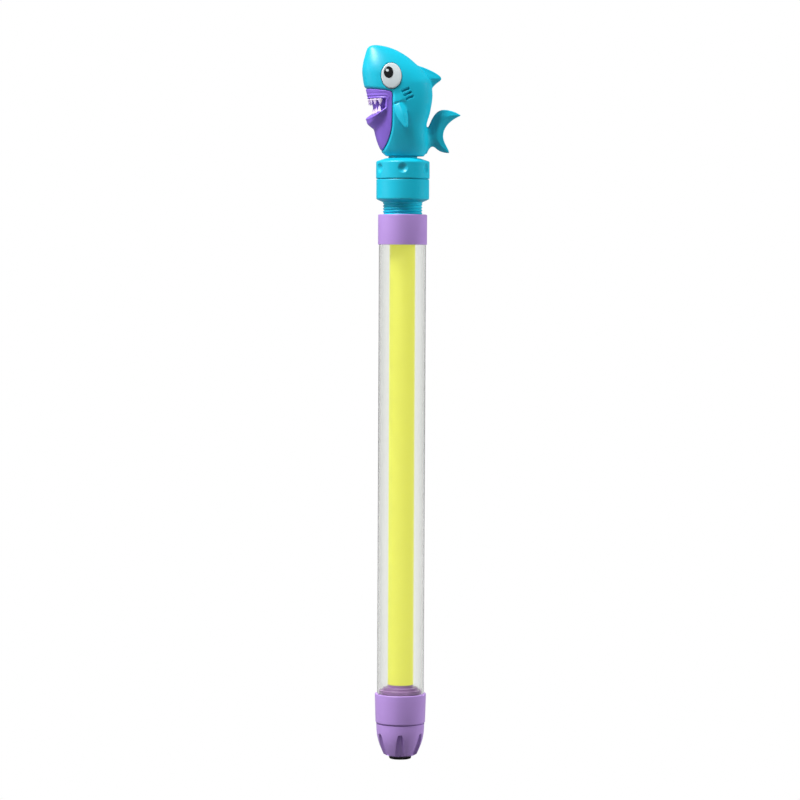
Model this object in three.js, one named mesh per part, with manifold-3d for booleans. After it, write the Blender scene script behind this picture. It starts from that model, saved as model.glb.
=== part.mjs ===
// A hand-pumped water squirter: a clear barrel with a screwed nozzle, a rod with a piston,
// and a shark figure that turns on the handle knob.
// Millimetres, +Z up along the barrel axis. The origin is on that axis, in the plane of the
// nozzle tip. The shark faces -X, so its left side faces -Y.

import * as THREE from 'three';
import { mergeVertices } from 'three/addons/utils/BufferGeometryUtils.js';
import Module from 'manifold-3d';

const wasm = await Module();
wasm.setup();

// Barrel
const TUBE_OD = 29.4;
const TUBE_WALL = 1.1;
const TUBE_LENGTH = 308;
const GLUE_GAP = 0.1;

// Nozzle: rubber jet, fluted nut and the sleeve under the tube
const TIP_REACH = 1.1;
const TIP_EDGE = 0.9;
const JET_R = 1.5;
const JET_LENGTH = 3;
const SNOUT_R = 7;
const FLANGE_R = 8.5;
const FLANGE_THICK = 3;
const NUT_LENGTH = 20.9;
const NUT_STEP = 0.45;
const NUT_TAPER = 4.6;
const NUT_BELLY = 1.35;
const NUT_CHAMFER = 1.4;
const NUT_FLOOR = 3;
const FLUTE_COUNT = 6;
const FLUTE_R = 2.7;
const FLUTE_DEPTH = 1.2;
const FLUTE_TOP = 13;
const FLUTE_NOSE = 6;
const SLEEVE_LENGTH = 18.5;
const SLEEVE_WALL = 1.3;
const SLEEVE_DRAFT = 0.55;
const SLEEVE_EDGE = 0.5;
const SLEEVE_FLOOR = 7.7;
const BOWL_DEPTH = 3.5;
const BOWL_LEDGE = 2;
const PORT_R = 4;
const SPIGOT_R = 8.5;

// Collar and guide cap
const COLLAR_LENGTH = 18.8;
const COLLAR_SKIRT = 0.5;
const COLLAR_WALL = 1.05;
const COLLAR_GRIP = 15.5;
const COLLAR_EDGE = 0.3;
const COLLAR_INNER_RISE = 3;
const NECK_SHOWN = 7.7;
const NECK_HIDDEN = 15;
const CAP_OVERHANG = 1.2;
const CAP_LENGTH = 14.2;
const CAP_CHAMFER = 2.9;
const CAP_EDGE = 0.4;

// Plunger
const ROD_OD = 16;
const ROD_WALL = 1.6;
const PISTON_REST = 5.5;
const PISTON_FOOT = 2.2;
const PISTON_GROOVE = 3.1;
const PISTON_CROWN = 2.4;
const HUB_R = 10;
const HUB_LENGTH = 2;
const PLUG_LENGTH = 16;
const RING_SECTION = 2.7;

// Handle knob and the post that carries the figure
const KNOB_OVERHANG = 0.2;
const KNOB_LENGTH = 10.7;
const KNOB_CONE = 2.6;
const KNOB_EDGE = 0.5;
const SHOULDER_R = 10.6;
const SOCKET_DEPTH = 8;
const DIMPLE_COUNT = 6;
const DIMPLE_D = 6.8;
const DIMPLE_DEPTH = 1.2;
const DIMPLE_HEIGHT = 7.3;
const PATTERN_ANGLE = -11;
const WASHER_R = 9;
const WASHER_THICK = 1.1;
const POST_R = 6.5;
const POST_LENGTH = 8;
const POST_HEAD_R = 8.4;
const POST_HEAD_LENGTH = 3;

// Shark outlines: height above its flat foot, then the distance from the turning axis
const SHARK_FRONT = [
  [0, -11.5], [3.5, -15.1], [9, -17.6], [15, -19.8], [19, -22.4], [22.3, -24.1], [26, -22.6],
  [33, -22.2], [36, -23.5], [41, -24.8], [47, -26.1], [53, -26.7], [58, -26.1], [62, -25.1],
  [66, -23.9], [67.6, -22.9], [68.7, -21.3],
];
const SHARK_BACK = [
  [0, 12.2], [8, 14], [18, 13], [28, 15.4], [38, 16.8], [45, 16.2], [52.5, 11.8], [58.2, 5.9],
  [62, 1.1], [65.7, -5.4], [67.6, -10.8], [68.7, -15.5],
];
const SHARK_SIDE = [
  [0, 10.8], [4, 12.4], [12, 13.8], [25, 14.6], [36, 15], [44, 14.8], [50, 13.9], [55, 12.4],
  [60, 10], [64, 7.4], [67, 4.8], [68.7, 2.6],
];
const SHARK_SQUARENESS = 2.25;
const PARTING_GAP = 0.2;
const DOWEL_R = 1.6;
const DOWEL_LENGTH = 4;
const DOWELS = [[4, 30], [-4, 54]];

// Muzzle and belly insert, its mouth and its teeth
const MUZZLE_TOP = 41.6;
const MUZZLE_TOP_BEND = -24.8;
const MUZZLE_TOP_BACK = 39.6;
const MUZZLE_BACK = -10.4;
const BELLY_BEND = 21;
const BELLY_TIP = [-14.6, 3.2];
const MOUTH_TOP = 35.4;
const MOUTH_CORNER = [-12.4, 31.2];
const MOUTH_FOOT = [-24.5, 24.2];
const MOUTH_BEND = [-17, 29.2];
const MOUTH_DEPTH = 4.4;
const UPPER_TEETH = 9;
const UPPER_TEETH_END = -15.5;
const LOWER_TEETH = 7;
const LOWER_TEETH_END = -19.5;
const TOOTH_SET_BACK = 1.7;
const TOOTH_ROOT = 0.9;
const TOOTH_LENGTH = 2.5;

// Eyes
const EYE_PLACE = [-10.5, 49.4];
const EYE_WIDE = 13;
const EYE_TALL = 16.2;
const EYE_PROUD = 0.9;
const EYE_DOME = 0.7;
const EYE_ROOT = 2.6;
const PUPIL_WIDE = 5.8;
const PUPIL_TALL = 7;
const PUPIL_SHIFT = [-1.5, 1.8];
const PUPIL_PROUD = 0.25;
const PUPIL_SINK = 0.09;
const PUPIL_ROOT = 0.9;

// Fins and gills; the two outlines are in X and height
const DORSAL_FIN = [
  [4, 57], [8.4, 56.4], [12.5, 55.4, 18.5, 53, 21.8, 50.6], [23.8, 49, 23.6, 47.8, 21.8, 46.6],
  [18.4, 44.4, 16.6, 41.2], [8, 41.2],
];
const TAIL_FIN = [
  [6, 3.4], [14, 2.4], [15.2, 5.4, 17.5, 7.4, 20, 5.2], [22, 3.4, 24.5, 2.4, 27.6, 2.5],
  [27.6, 5.5, 24.2, 8.5, 24.2, 13], [24.2, 18.5, 28.5, 23, 34.4, 25.8],
  [32, 27.6, 28.5, 29.2, 25, 29.2], [19.5, 29, 17.5, 23.5, 15.8, 18.6], [14.4, 15.6, 12.8, 17.8],
  [6, 18],
];
const FIN_THICK = 4.4;
const FIN_BEVEL = 0.9;
const PECTORAL_ROOT = [-4.6, 33.4];
const PECTORAL_TIP = [-1.6, 16.6];
const PECTORAL_WIDE = 9.6;
const PECTORAL_THICK = 2.6;
const PECTORAL_SINK = 1;
const PECTORAL_STAND = 2.8;
const GILL_COUNT = 3;
const GILL_PLACE = [-0.3, 40.2];
const GILL_STEP = [1.2, -2.5];
const GILL_LENGTH = 4.6;
const GILL_R = 0.75;
const GILL_TILT = 20;

// Clearances
const RUN_GAP = 0.25;
const SEAT_GAP = 0.2;
const INSET_GAP = 0.3;
const RING_GAP = 0.2;

// Facets
const ROUND = 40;
const SMALL_ROUND = 24;
const SHARK_ROWS = 24;
const SHARK_SIDES = 28;
const NUT_STEPS = 8;
const NOSE_STEPS = 3;
const DOME_STEPS = 3;
const BEVEL_STEPS = 2;
const CURVE_STEPS = 5;
const SEARCH_STEPS = 30;
const WELD_GAP = 1e-4;
const SLOPE_STEP = 0.5;
const CUT_REACH = 60;

// Radii and heights along the axis, from the nozzle tip up
const tubeR = TUBE_OD / 2;
const boreR = tubeR - TUBE_WALL;
const collarR = tubeR + GLUE_GAP + COLLAR_SKIRT;
const threadR = boreR - GLUE_GAP - COLLAR_WALL;
const neckR = threadR - SEAT_GAP;
const capR = collarR + CAP_OVERHANG;
const knobR = capR + KNOB_OVERHANG;
const sleeveTopR = tubeR + GLUE_GAP + SLEEVE_WALL;
const sleeveFootR = sleeveTopR - SLEEVE_DRAFT;
const nutTopR = sleeveFootR - NUT_STEP;
const nutFootR = nutTopR - NUT_TAPER;
const nutTop = TIP_REACH + NUT_LENGTH;
const flangeFoot = TIP_REACH + NUT_FLOOR;
const flangeTop = flangeFoot + FLANGE_THICK;
const spigotFoot = flangeTop + SEAT_GAP;
const sleeveFoot = nutTop + SEAT_GAP;
const sleeveTop = sleeveFoot + SLEEVE_LENGTH;
const tubeFoot = sleeveFoot + SLEEVE_FLOOR;
const tubeTop = tubeFoot + TUBE_LENGTH;
const collarFoot = tubeTop - COLLAR_GRIP;
const collarTop = collarFoot + COLLAR_LENGTH;
const capFoot = collarTop + NECK_SHOWN;
const capTop = capFoot + CAP_LENGTH;
const neckFoot = capFoot - NECK_SHOWN - NECK_HIDDEN;
const knobFoot = capTop + SEAT_GAP;
const knobRim = knobFoot + KNOB_LENGTH;
const knobTop = knobRim + KNOB_CONE;
const washerTop = knobTop + WASHER_THICK;
const sharkFoot = washerTop + SEAT_GAP;
const pistonFoot = tubeFoot + PISTON_REST;
const grooveFoot = pistonFoot + PISTON_FOOT;
const grooveTop = grooveFoot + PISTON_GROOVE;
const crownTop = grooveTop + PISTON_CROWN;
const hubTop = crownTop + HUB_LENGTH;
const rodR = ROD_OD / 2;
const rodBoreR = rodR - ROD_WALL;
const rodTop = knobFoot + SOCKET_DEPTH;

const PLASTIC = { roughness: 0.35, metalness: 0 };
const cyan = new THREE.MeshStandardMaterial({ color: 0x2bb5d8, ...PLASTIC });
const lilac = new THREE.MeshStandardMaterial({ color: 0x9a7bd0, ...PLASTIC });
const yellow = new THREE.MeshStandardMaterial({ color: 0xe6e85c, ...PLASTIC });
const clear = new THREE.MeshStandardMaterial({ color: 0xe4ebea, roughness: 0.08, metalness: 0 });
const rubber = new THREE.MeshStandardMaterial({ color: 0x141314, roughness: 0.6, metalness: 0 });
const ivory = new THREE.MeshStandardMaterial({ color: 0xe9e2f2, ...PLASTIC });
const white = new THREE.MeshStandardMaterial({ color: 0xe6e6e8, ...PLASTIC });
const black = new THREE.MeshStandardMaterial({ color: 0x101214, roughness: 0.25, metalness: 0 });

// Keeps one vertex per place and drops the slivers that a revolve leaves on its axis.
function weld(geometry) {
  const bare = geometry.clone();
  bare.deleteAttribute('normal');
  bare.deleteAttribute('uv');
  const merged = mergeVertices(bare, WELD_GAP);
  const corners = merged.index.array;
  const kept = [];
  for (let i = 0; i < corners.length; i += 3) {
    const [a, b, c] = [corners[i], corners[i + 1], corners[i + 2]];
    if (a !== b && b !== c && c !== a) kept.push(a, b, c);
  }
  merged.setIndex(kept);
  return merged;
}

function signedVolume(geometry) {
  const place = geometry.attributes.position;
  const corners = geometry.index.array;
  const [a, b, c] = [new THREE.Vector3(), new THREE.Vector3(), new THREE.Vector3()];
  let sum = 0;
  for (let i = 0; i < corners.length; i += 3) {
    a.fromBufferAttribute(place, corners[i]);
    b.fromBufferAttribute(place, corners[i + 1]);
    c.fromBufferAttribute(place, corners[i + 2]);
    sum += a.dot(b.cross(c)) / 6;
  }
  return sum;
}

// A welded copy whose faces point out.
function closed(geometry) {
  const body = weld(geometry);
  if (signedVolume(body) < 0) body.setIndex(Array.from(body.index.array).reverse());
  body.computeVertexNormals();
  return body;
}

function toSolid(geometry) {
  const body = closed(geometry);
  const vertProperties = new Float32Array(body.attributes.position.array);
  const triVerts = new Uint32Array(body.index.array);
  return new wasm.Manifold(new wasm.Mesh({ numProp: 3, vertProperties, triVerts }));
}

function toGeometry(solid) {
  const mesh = solid.getMesh();
  const geometry = new THREE.BufferGeometry();
  geometry.setAttribute('position', new THREE.BufferAttribute(mesh.vertProperties, 3));
  geometry.setIndex(new THREE.BufferAttribute(mesh.triVerts, 1));
  geometry.computeVertexNormals();
  return geometry;
}

// Turns a profile of [radius, height] points about the Z axis.
function revolve(profile, segments = ROUND) {
  const points = profile.map(([r, z]) => new THREE.Vector2(r, z));
  return closed(new THREE.LatheGeometry(points, segments).rotateX(Math.PI / 2));
}

// The same for a ring, whose profile closes on itself.
function revolveRing(profile, segments = ROUND) {
  return revolve([...profile, profile[0]], segments);
}

// Extrudes an outline drawn in X and Z to both sides of the plane Y = 0.
function plate(shape, thickness, bevel = 0) {
  const depth = thickness - 2 * bevel;
  const geometry = new THREE.ExtrudeGeometry(shape, {
    depth,
    bevelEnabled: bevel > 0,
    bevelThickness: bevel,
    bevelSize: bevel,
    bevelOffset: -bevel,
    bevelSegments: BEVEL_STEPS,
    curveSegments: CURVE_STEPS,
  });
  return geometry.translate(0, 0, -depth / 2).rotateX(Math.PI / 2);
}

function node(name, geometry, material) {
  const mesh = new THREE.Mesh(geometry, material);
  mesh.name = name;
  return mesh;
}

function group(...children) {
  const holder = new THREE.Group();
  holder.add(...children);
  return holder;
}

// Barrel tube
function makeTube() {
  return revolveRing([[boreR, tubeFoot], [tubeR, tubeFoot], [tubeR, tubeTop], [boreR, tubeTop]]);
}

// Collar: a channel that takes the tube's end, with the neck's thread on its inner wall
function makeCollar() {
  const skirt = tubeR + GLUE_GAP;
  const wall = boreR - GLUE_GAP;
  const innerFoot = collarFoot + COLLAR_INNER_RISE;
  return revolveRing([
    [skirt, collarFoot], [collarR, collarFoot], [collarR, collarTop - COLLAR_EDGE],
    [collarR - COLLAR_EDGE, collarTop], [threadR, collarTop], [threadR, innerFoot],
    [wall, innerFoot], [wall, tubeTop], [skirt, tubeTop],
  ]);
}

function makeGuideCap() {
  const bore = rodR + RUN_GAP;
  return revolveRing([
    [bore, neckFoot], [neckR, neckFoot], [neckR, capFoot], [capR, capFoot + CAP_CHAMFER],
    [capR, capTop - CAP_EDGE], [capR - CAP_EDGE, capTop], [bore, capTop],
  ]);
}

// Sleeve: the skirt over the tube, a dished floor with the port, the spigot below
function makeSleeve() {
  const skirt = tubeR + GLUE_GAP;
  return revolveRing([
    [PORT_R, spigotFoot], [SPIGOT_R, spigotFoot], [SPIGOT_R, sleeveFoot],
    [sleeveFootR - SLEEVE_EDGE, sleeveFoot], [sleeveFootR, sleeveFoot + SLEEVE_EDGE],
    [sleeveTopR, sleeveTop - SLEEVE_EDGE], [sleeveTopR - SLEEVE_EDGE, sleeveTop],
    [skirt, sleeveTop], [skirt, tubeFoot], [boreR - BOWL_LEDGE, tubeFoot],
    [PORT_R, tubeFoot - BOWL_DEPTH],
  ]);
}

function makeInsert() {
  const funnelTop = JET_LENGTH + PORT_R - JET_R;
  return revolveRing([
    [JET_R, 0], [SNOUT_R - TIP_EDGE, 0], [SNOUT_R, TIP_REACH], [SNOUT_R, flangeFoot],
    [FLANGE_R, flangeFoot], [FLANGE_R, flangeTop], [PORT_R, flangeTop], [PORT_R, funnelTop],
    [JET_R, JET_LENGTH],
  ], SMALL_ROUND);
}

// Nut: a bellied cone with a flute under each finger
function nutRadius(share) {
  const straight = nutFootR + (nutTopR - nutFootR) * share;
  return straight + NUT_BELLY * Math.sin(Math.PI * share);
}

function makeNut() {
  const hole = SNOUT_R + RUN_GAP;
  const thread = SPIGOT_R + RUN_GAP;
  const coneFoot = TIP_REACH + NUT_CHAMFER;
  const coneLength = nutTop - coneFoot;
  const side = [];
  for (let i = 0; i <= NUT_STEPS; i += 1) {
    side.push([nutRadius(i / NUT_STEPS), coneFoot + (coneLength * i) / NUT_STEPS]);
  }
  const floorTop = flangeFoot - SEAT_GAP / 2;
  const blank = revolveRing([
    [hole, TIP_REACH], [hole + SEAT_GAP, TIP_REACH], ...side,
    [thread, nutTop], [thread, floorTop], [hole, floorTop],
  ]);
  let nut = toSolid(blank);
  const fluteSpan = FLUTE_TOP - coneFoot;
  const topShare = fluteSpan / coneLength;
  const lean = Math.atan2(nutRadius(topShare) - nutRadius(0), fluteSpan);
  const noseRise = FLUTE_NOSE / 2;
  const noseR = nutRadius(topShare) + FLUTE_R - FLUTE_DEPTH + noseRise * Math.tan(lean);
  const nose = [];
  for (let i = 0; i <= NOSE_STEPS; i += 1) {
    const angle = (Math.PI / 2) * (i / NOSE_STEPS);
    nose.push([FLUTE_R * Math.cos(angle), FLUTE_NOSE * (Math.sin(angle) - 1)]);
  }
  const finger = revolve([[0, -NUT_LENGTH], [FLUTE_R, -NUT_LENGTH], ...nose], SMALL_ROUND / 2);
  for (let i = 0; i < FLUTE_COUNT; i += 1) {
    const turn = THREE.MathUtils.degToRad(PATTERN_ANGLE) + (2 * Math.PI * i) / FLUTE_COUNT;
    const cutter = finger.clone().rotateX(lean);
    cutter.translate(0, -noseR, FLUTE_TOP + noseRise);
    nut = nut.subtract(toSolid(cutter.rotateZ(turn)));
  }
  return toGeometry(nut);
}

function makeRod() {
  return revolveRing([
    [rodBoreR, hubTop], [rodR, hubTop], [rodR, rodTop - SEAT_GAP], [rodBoreR, rodTop - SEAT_GAP],
  ]);
}

function makePiston() {
  const land = boreR - RUN_GAP;
  const core = boreR - RING_SECTION - RING_GAP;
  const plug = rodBoreR - SEAT_GAP;
  return revolve([
    [0, pistonFoot], [land, pistonFoot], [land, grooveFoot], [core, grooveFoot], [core, grooveTop],
    [land, grooveTop], [land, crownTop], [HUB_R, crownTop], [HUB_R, hubTop], [plug, hubTop],
    [plug, hubTop + PLUG_LENGTH], [0, hubTop + PLUG_LENGTH],
  ]);
}

function makeRing() {
  const sectionR = RING_SECTION / 2;
  const ringR = boreR - RING_GAP / 2 - sectionR;
  const middle = (grooveFoot + grooveTop) / 2;
  const ring = new THREE.TorusGeometry(ringR, sectionR - RING_GAP / 4, SMALL_ROUND / 3, ROUND);
  return closed(ring.translate(0, 0, middle));
}

// Knob: a dimpled drum over the rod's socket, the washer and the headed post above
function makeKnob() {
  const socket = rodR + GLUE_GAP;
  const headFoot = washerTop + POST_LENGTH;
  const headTop = headFoot + POST_HEAD_LENGTH;
  let knob = toSolid(revolve([
    [0, rodTop], [socket, rodTop], [socket, knobFoot], [knobR - KNOB_EDGE, knobFoot],
    [knobR, knobFoot + KNOB_EDGE], [knobR, knobRim - KNOB_EDGE], [knobR - KNOB_EDGE, knobRim],
    [SHOULDER_R, knobTop], [WASHER_R, knobTop], [WASHER_R, washerTop], [POST_R, washerTop],
    [POST_R, headFoot], [POST_HEAD_R, headFoot], [POST_R, headTop], [0, headTop],
  ]));
  const ballR = (DIMPLE_D ** 2 / 4 + DIMPLE_DEPTH ** 2) / (2 * DIMPLE_DEPTH);
  for (let i = 0; i < DIMPLE_COUNT; i += 1) {
    const turn = THREE.MathUtils.degToRad(PATTERN_ANGLE) + (2 * Math.PI * i) / DIMPLE_COUNT;
    const ball = new THREE.SphereGeometry(ballR, SMALL_ROUND, SMALL_ROUND / 2).rotateX(Math.PI / 2);
    ball.translate(0, -(knobR - DIMPLE_DEPTH + ballR), knobFoot + DIMPLE_HEIGHT);
    knob = knob.subtract(toSolid(ball.rotateZ(turn)));
  }
  return toGeometry(knob);
}

// A smooth curve through [height, value] pairs that never overshoots them.
function curveThrough(pairs) {
  const last = pairs.length - 1;
  const slope = (i) => (pairs[i + 1][1] - pairs[i][1]) / (pairs[i + 1][0] - pairs[i][0]);
  const tangent = pairs.map((pair, i) => {
    if (i === 0) return slope(0);
    if (i === last) return slope(last - 1);
    const [before, after] = [slope(i - 1), slope(i)];
    return before * after <= 0 ? 0 : (2 * before * after) / (before + after);
  });
  return (height) => {
    let i = 0;
    while (i < last - 1 && height > pairs[i + 1][0]) i += 1;
    const span = pairs[i + 1][0] - pairs[i][0];
    const t = Math.min(1, Math.max(0, (height - pairs[i][0]) / span));
    const rise = pairs[i + 1][1] - pairs[i][1];
    const ease = t * t * (3 - 2 * t);
    const bend = t * (1 - t) * ((1 - t) * tangent[i] - t * tangent[i + 1]) * span;
    return pairs[i][1] + rise * ease + bend;
  };
}

const sharkFront = curveThrough(SHARK_FRONT);
const sharkBack = curveThrough(SHARK_BACK);
const sharkSide = curveThrough(SHARK_SIDE);
const sharkHeight = SHARK_BACK.at(-1)[0];

// The point at an angle round the shark's section; 0 looks to the back, 180 degrees to the snout.
function sectionPoint(angle, height, inset = 0) {
  const middle = (sharkFront(height) + sharkBack(height)) / 2;
  const long = (sharkBack(height) - sharkFront(height)) / 2 - inset;
  const wide = sharkSide(height) - inset;
  const power = 2 / SHARK_SQUARENESS;
  const swell = (value) => Math.sign(value) * Math.abs(value) ** power;
  return [middle + long * swell(Math.cos(angle)), wide * swell(Math.sin(angle))];
}

// How far the shark's side stands from its middle plane.
function sideReach(x, height) {
  const middle = (sharkFront(height) + sharkBack(height)) / 2;
  const long = (sharkBack(height) - sharkFront(height)) / 2;
  const share = Math.min(1, Math.abs((x - middle) / long));
  return sharkSide(height) * (1 - share ** SHARK_SQUARENESS) ** (1 / SHARK_SQUARENESS);
}

function meshFrom(points, faces) {
  const geometry = new THREE.BufferGeometry();
  geometry.setAttribute('position', new THREE.Float32BufferAttribute(points.flat(), 3));
  geometry.setIndex(faces.flat());
  return geometry;
}

// Lofts the shark's sections from one height to another, drawn in by an inset.
function loftShark(from, to, inset = 0) {
  const points = [];
  const faces = [];
  for (let row = 0; row <= SHARK_ROWS; row += 1) {
    const height = from + ((to - from) * (1 - Math.cos((Math.PI * row) / SHARK_ROWS))) / 2;
    for (let side = 0; side < SHARK_SIDES; side += 1) {
      const [x, y] = sectionPoint((2 * Math.PI * side) / SHARK_SIDES, height, inset);
      points.push([x, y, height]);
    }
  }
  for (let row = 0; row < SHARK_ROWS; row += 1) {
    for (let side = 0; side < SHARK_SIDES; side += 1) {
      const next = (side + 1) % SHARK_SIDES;
      const [a, b] = [row * SHARK_SIDES + side, row * SHARK_SIDES + next];
      faces.push([a, b, b + SHARK_SIDES], [a, b + SHARK_SIDES, a + SHARK_SIDES]);
    }
  }
  const top = SHARK_ROWS * SHARK_SIDES;
  for (let side = 1; side < SHARK_SIDES - 1; side += 1) {
    faces.push([0, side + 1, side], [top, top + side, top + side + 1]);
  }
  return meshFrom(points, faces);
}

// Draws an outline: a row of 2 numbers is a straight line's end, 4 and 6 add the bends of a curve.
function drawOutline([start, ...rows]) {
  const shape = new THREE.Shape();
  shape.moveTo(...start);
  for (const row of rows) {
    if (row.length === 2) shape.lineTo(...row);
    else if (row.length === 4) shape.quadraticCurveTo(...row);
    else shape.bezierCurveTo(...row);
  }
  return shape;
}

// A leaf that hangs from the shark's side and stands away from it towards its tip.
function pectoralFin(side) {
  const [rootX, rootZ] = PECTORAL_ROOT;
  const [tipX, tipZ] = PECTORAL_TIP;
  const root = new THREE.Vector3(rootX, side * (sideReach(rootX, rootZ) - PECTORAL_SINK), rootZ);
  const tip = new THREE.Vector3(tipX, side * (sideReach(tipX, tipZ) + PECTORAL_STAND), tipZ);
  const length = root.distanceTo(tip);
  const half = PECTORAL_WIDE / 2;
  const leaf = new THREE.Shape();
  leaf.moveTo(-half * 0.8, 0);
  leaf.bezierCurveTo(-half * 1.2, -length * 0.4, -half * 0.5, -length * 0.85, 0, -length);
  leaf.bezierCurveTo(half * 0.7, -length * 0.85, half * 1.3, -length * 0.4, half * 0.8, 0);
  const blade = plate(leaf, PECTORAL_THICK, PECTORAL_THICK / 3);
  const down = tip.clone().sub(root).normalize();
  const out = new THREE.Vector3(0, side, 0).addScaledVector(down, -side * down.y).normalize();
  const along = new THREE.Vector3().crossVectors(out, down.clone().negate()).normalize();
  const turn = new THREE.Matrix4().makeBasis(along, out, down.clone().negate()).setPosition(root);
  return blade.applyMatrix4(turn);
}

function gillSlot(side, index) {
  const offset = index - (GILL_COUNT - 1) / 2;
  const x = GILL_PLACE[0] + GILL_STEP[0] * offset;
  const z = GILL_PLACE[1] + GILL_STEP[1] * offset;
  const slot = new THREE.CapsuleGeometry(GILL_R, GILL_LENGTH, 2, 8).rotateZ(-Math.PI / 2);
  slot.rotateY(-THREE.MathUtils.degToRad(GILL_TILT));
  return slot.translate(x, side * sideReach(x, z), z);
}

// The frame of a disc that lies on the shark's side: its X runs back, its Y up, its Z out.
function sideFrame(side, [x, z]) {
  const slopeX = (sideReach(x + SLOPE_STEP, z) - sideReach(x - SLOPE_STEP, z)) / (2 * SLOPE_STEP);
  const slopeZ = (sideReach(x, z + SLOPE_STEP) - sideReach(x, z - SLOPE_STEP)) / (2 * SLOPE_STEP);
  const out = new THREE.Vector3(-slopeX, side, -slopeZ).normalize();
  const along = new THREE.Vector3(1, side * slopeX, 0).normalize();
  const up = new THREE.Vector3().crossVectors(out, along).multiplyScalar(-side).normalize();
  const back = new THREE.Vector3().crossVectors(up, out);
  return new THREE.Matrix4().makeBasis(back, up, out).setPosition(x, side * sideReach(x, z), z);
}

// An oval pad with a domed face; grow widens it into the cutter of its pocket.
function ovalPad(wide, tall, root, proud, dome, grow = 0) {
  const rim = proud - dome;
  const profile = [[0, -root - grow], [1, -root - grow]];
  for (let i = 0; i <= DOME_STEPS; i += 1) {
    const share = 1 - i / DOME_STEPS;
    profile.push([share, rim + dome * (1 - share ** 2)]);
  }
  const pad = revolve(profile, SMALL_ROUND);
  return pad.scale(wide / 2 + grow, tall / 2 + grow, 1);
}

// The side view of the muzzle and belly insert; a gap widens it into the cutter of its seat.
function muzzleRegion(gap) {
  const back = MUZZLE_BACK + gap;
  const tipX = BELLY_TIP[0] + gap;
  const tipZ = BELLY_TIP[1] - gap;
  const shape = new THREE.Shape();
  shape.moveTo(-CUT_REACH, MUZZLE_TOP + gap);
  shape.lineTo(MUZZLE_TOP_BEND, MUZZLE_TOP + gap);
  shape.lineTo(back, MUZZLE_TOP_BACK + gap);
  shape.lineTo(back, BELLY_BEND);
  shape.quadraticCurveTo(back, (BELLY_BEND + tipZ) / 2, tipX, tipZ);
  shape.lineTo(-CUT_REACH, tipZ);
  return toSolid(plate(shape, CUT_REACH));
}

function mouthRegion() {
  const shape = new THREE.Shape();
  shape.moveTo(-CUT_REACH, MOUTH_TOP);
  shape.lineTo(MOUTH_CORNER[0], MOUTH_TOP);
  shape.lineTo(...MOUTH_CORNER);
  shape.quadraticCurveTo(...MOUTH_BEND, ...MOUTH_FOOT);
  shape.lineTo(-CUT_REACH, MOUTH_FOOT[1]);
  return toSolid(plate(shape, CUT_REACH));
}

function makeMuzzle(body) {
  const throat = toSolid(loftShark(0, sharkHeight, MOUTH_DEPTH));
  const mouth = mouthRegion().subtract(throat);
  return toGeometry(body.intersect(muzzleRegion(0)).subtract(mouth));
}

// The angle at which the section drawn in by an inset stands at x.
function angleAt(x, height, inset) {
  const middle = (sharkFront(height) + sharkBack(height)) / 2;
  const long = (sharkBack(height) - sharkFront(height)) / 2 - inset;
  return Math.acos(-(((middle - x) / long) ** (SHARK_SQUARENESS / 2)));
}

// A strip of teeth round the front of the mouth, from its root line to its points.
function toothStrip(count, endX, rootLine, direction) {
  const insets = [TOOTH_SET_BACK, MOUTH_DEPTH - INSET_GAP];
  const start = angleAt(endX, MOUTH_CORNER[1], insets[0]);
  const stations = 2 * count;
  const points = [];
  const faces = [];
  for (let i = 0; i <= stations; i += 1) {
    const angle = start + (2 * (Math.PI - start) * i) / stations;
    const reach = i % 2 === 1 ? TOOTH_LENGTH : TOOTH_ROOT;
    for (const inset of insets) {
      const root = rootLine(sectionPoint(angle, MOUTH_CORNER[1], inset)[0]);
      const tip = root + direction * reach;
      points.push([...sectionPoint(angle, root, inset), root]);
      points.push([...sectionPoint(angle, tip, inset), tip]);
    }
  }
  for (let i = 0; i < stations; i += 1) {
    const a = 4 * i;
    for (const [p, q] of [[0, 1], [1, 3], [3, 2], [2, 0]]) {
      faces.push([a + p, a + q, a + q + 4], [a + p, a + q + 4, a + p + 4]);
    }
  }
  const end = 4 * stations;
  faces.push([0, 2, 3], [0, 3, 1], [end, end + 3, end + 2], [end, end + 1, end + 3]);
  return closed(meshFrom(points, faces));
}

// The lower lip's height where the mouth's edge stands at x.
function lipHeight(x) {
  const start = new THREE.Vector2(...MOUTH_CORNER);
  const bend = new THREE.Vector2(...MOUTH_BEND);
  const foot = new THREE.Vector2(...MOUTH_FOOT);
  const edge = new THREE.QuadraticBezierCurve(start, bend, foot);
  const clamped = Math.min(start.x, Math.max(foot.x, x));
  let [low, high] = [0, 1];
  for (let i = 0; i < SEARCH_STEPS; i += 1) {
    const middle = (low + high) / 2;
    if (edge.getPoint(middle).x > clamped) low = middle;
    else high = middle;
  }
  return edge.getPoint(low).y;
}

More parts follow.
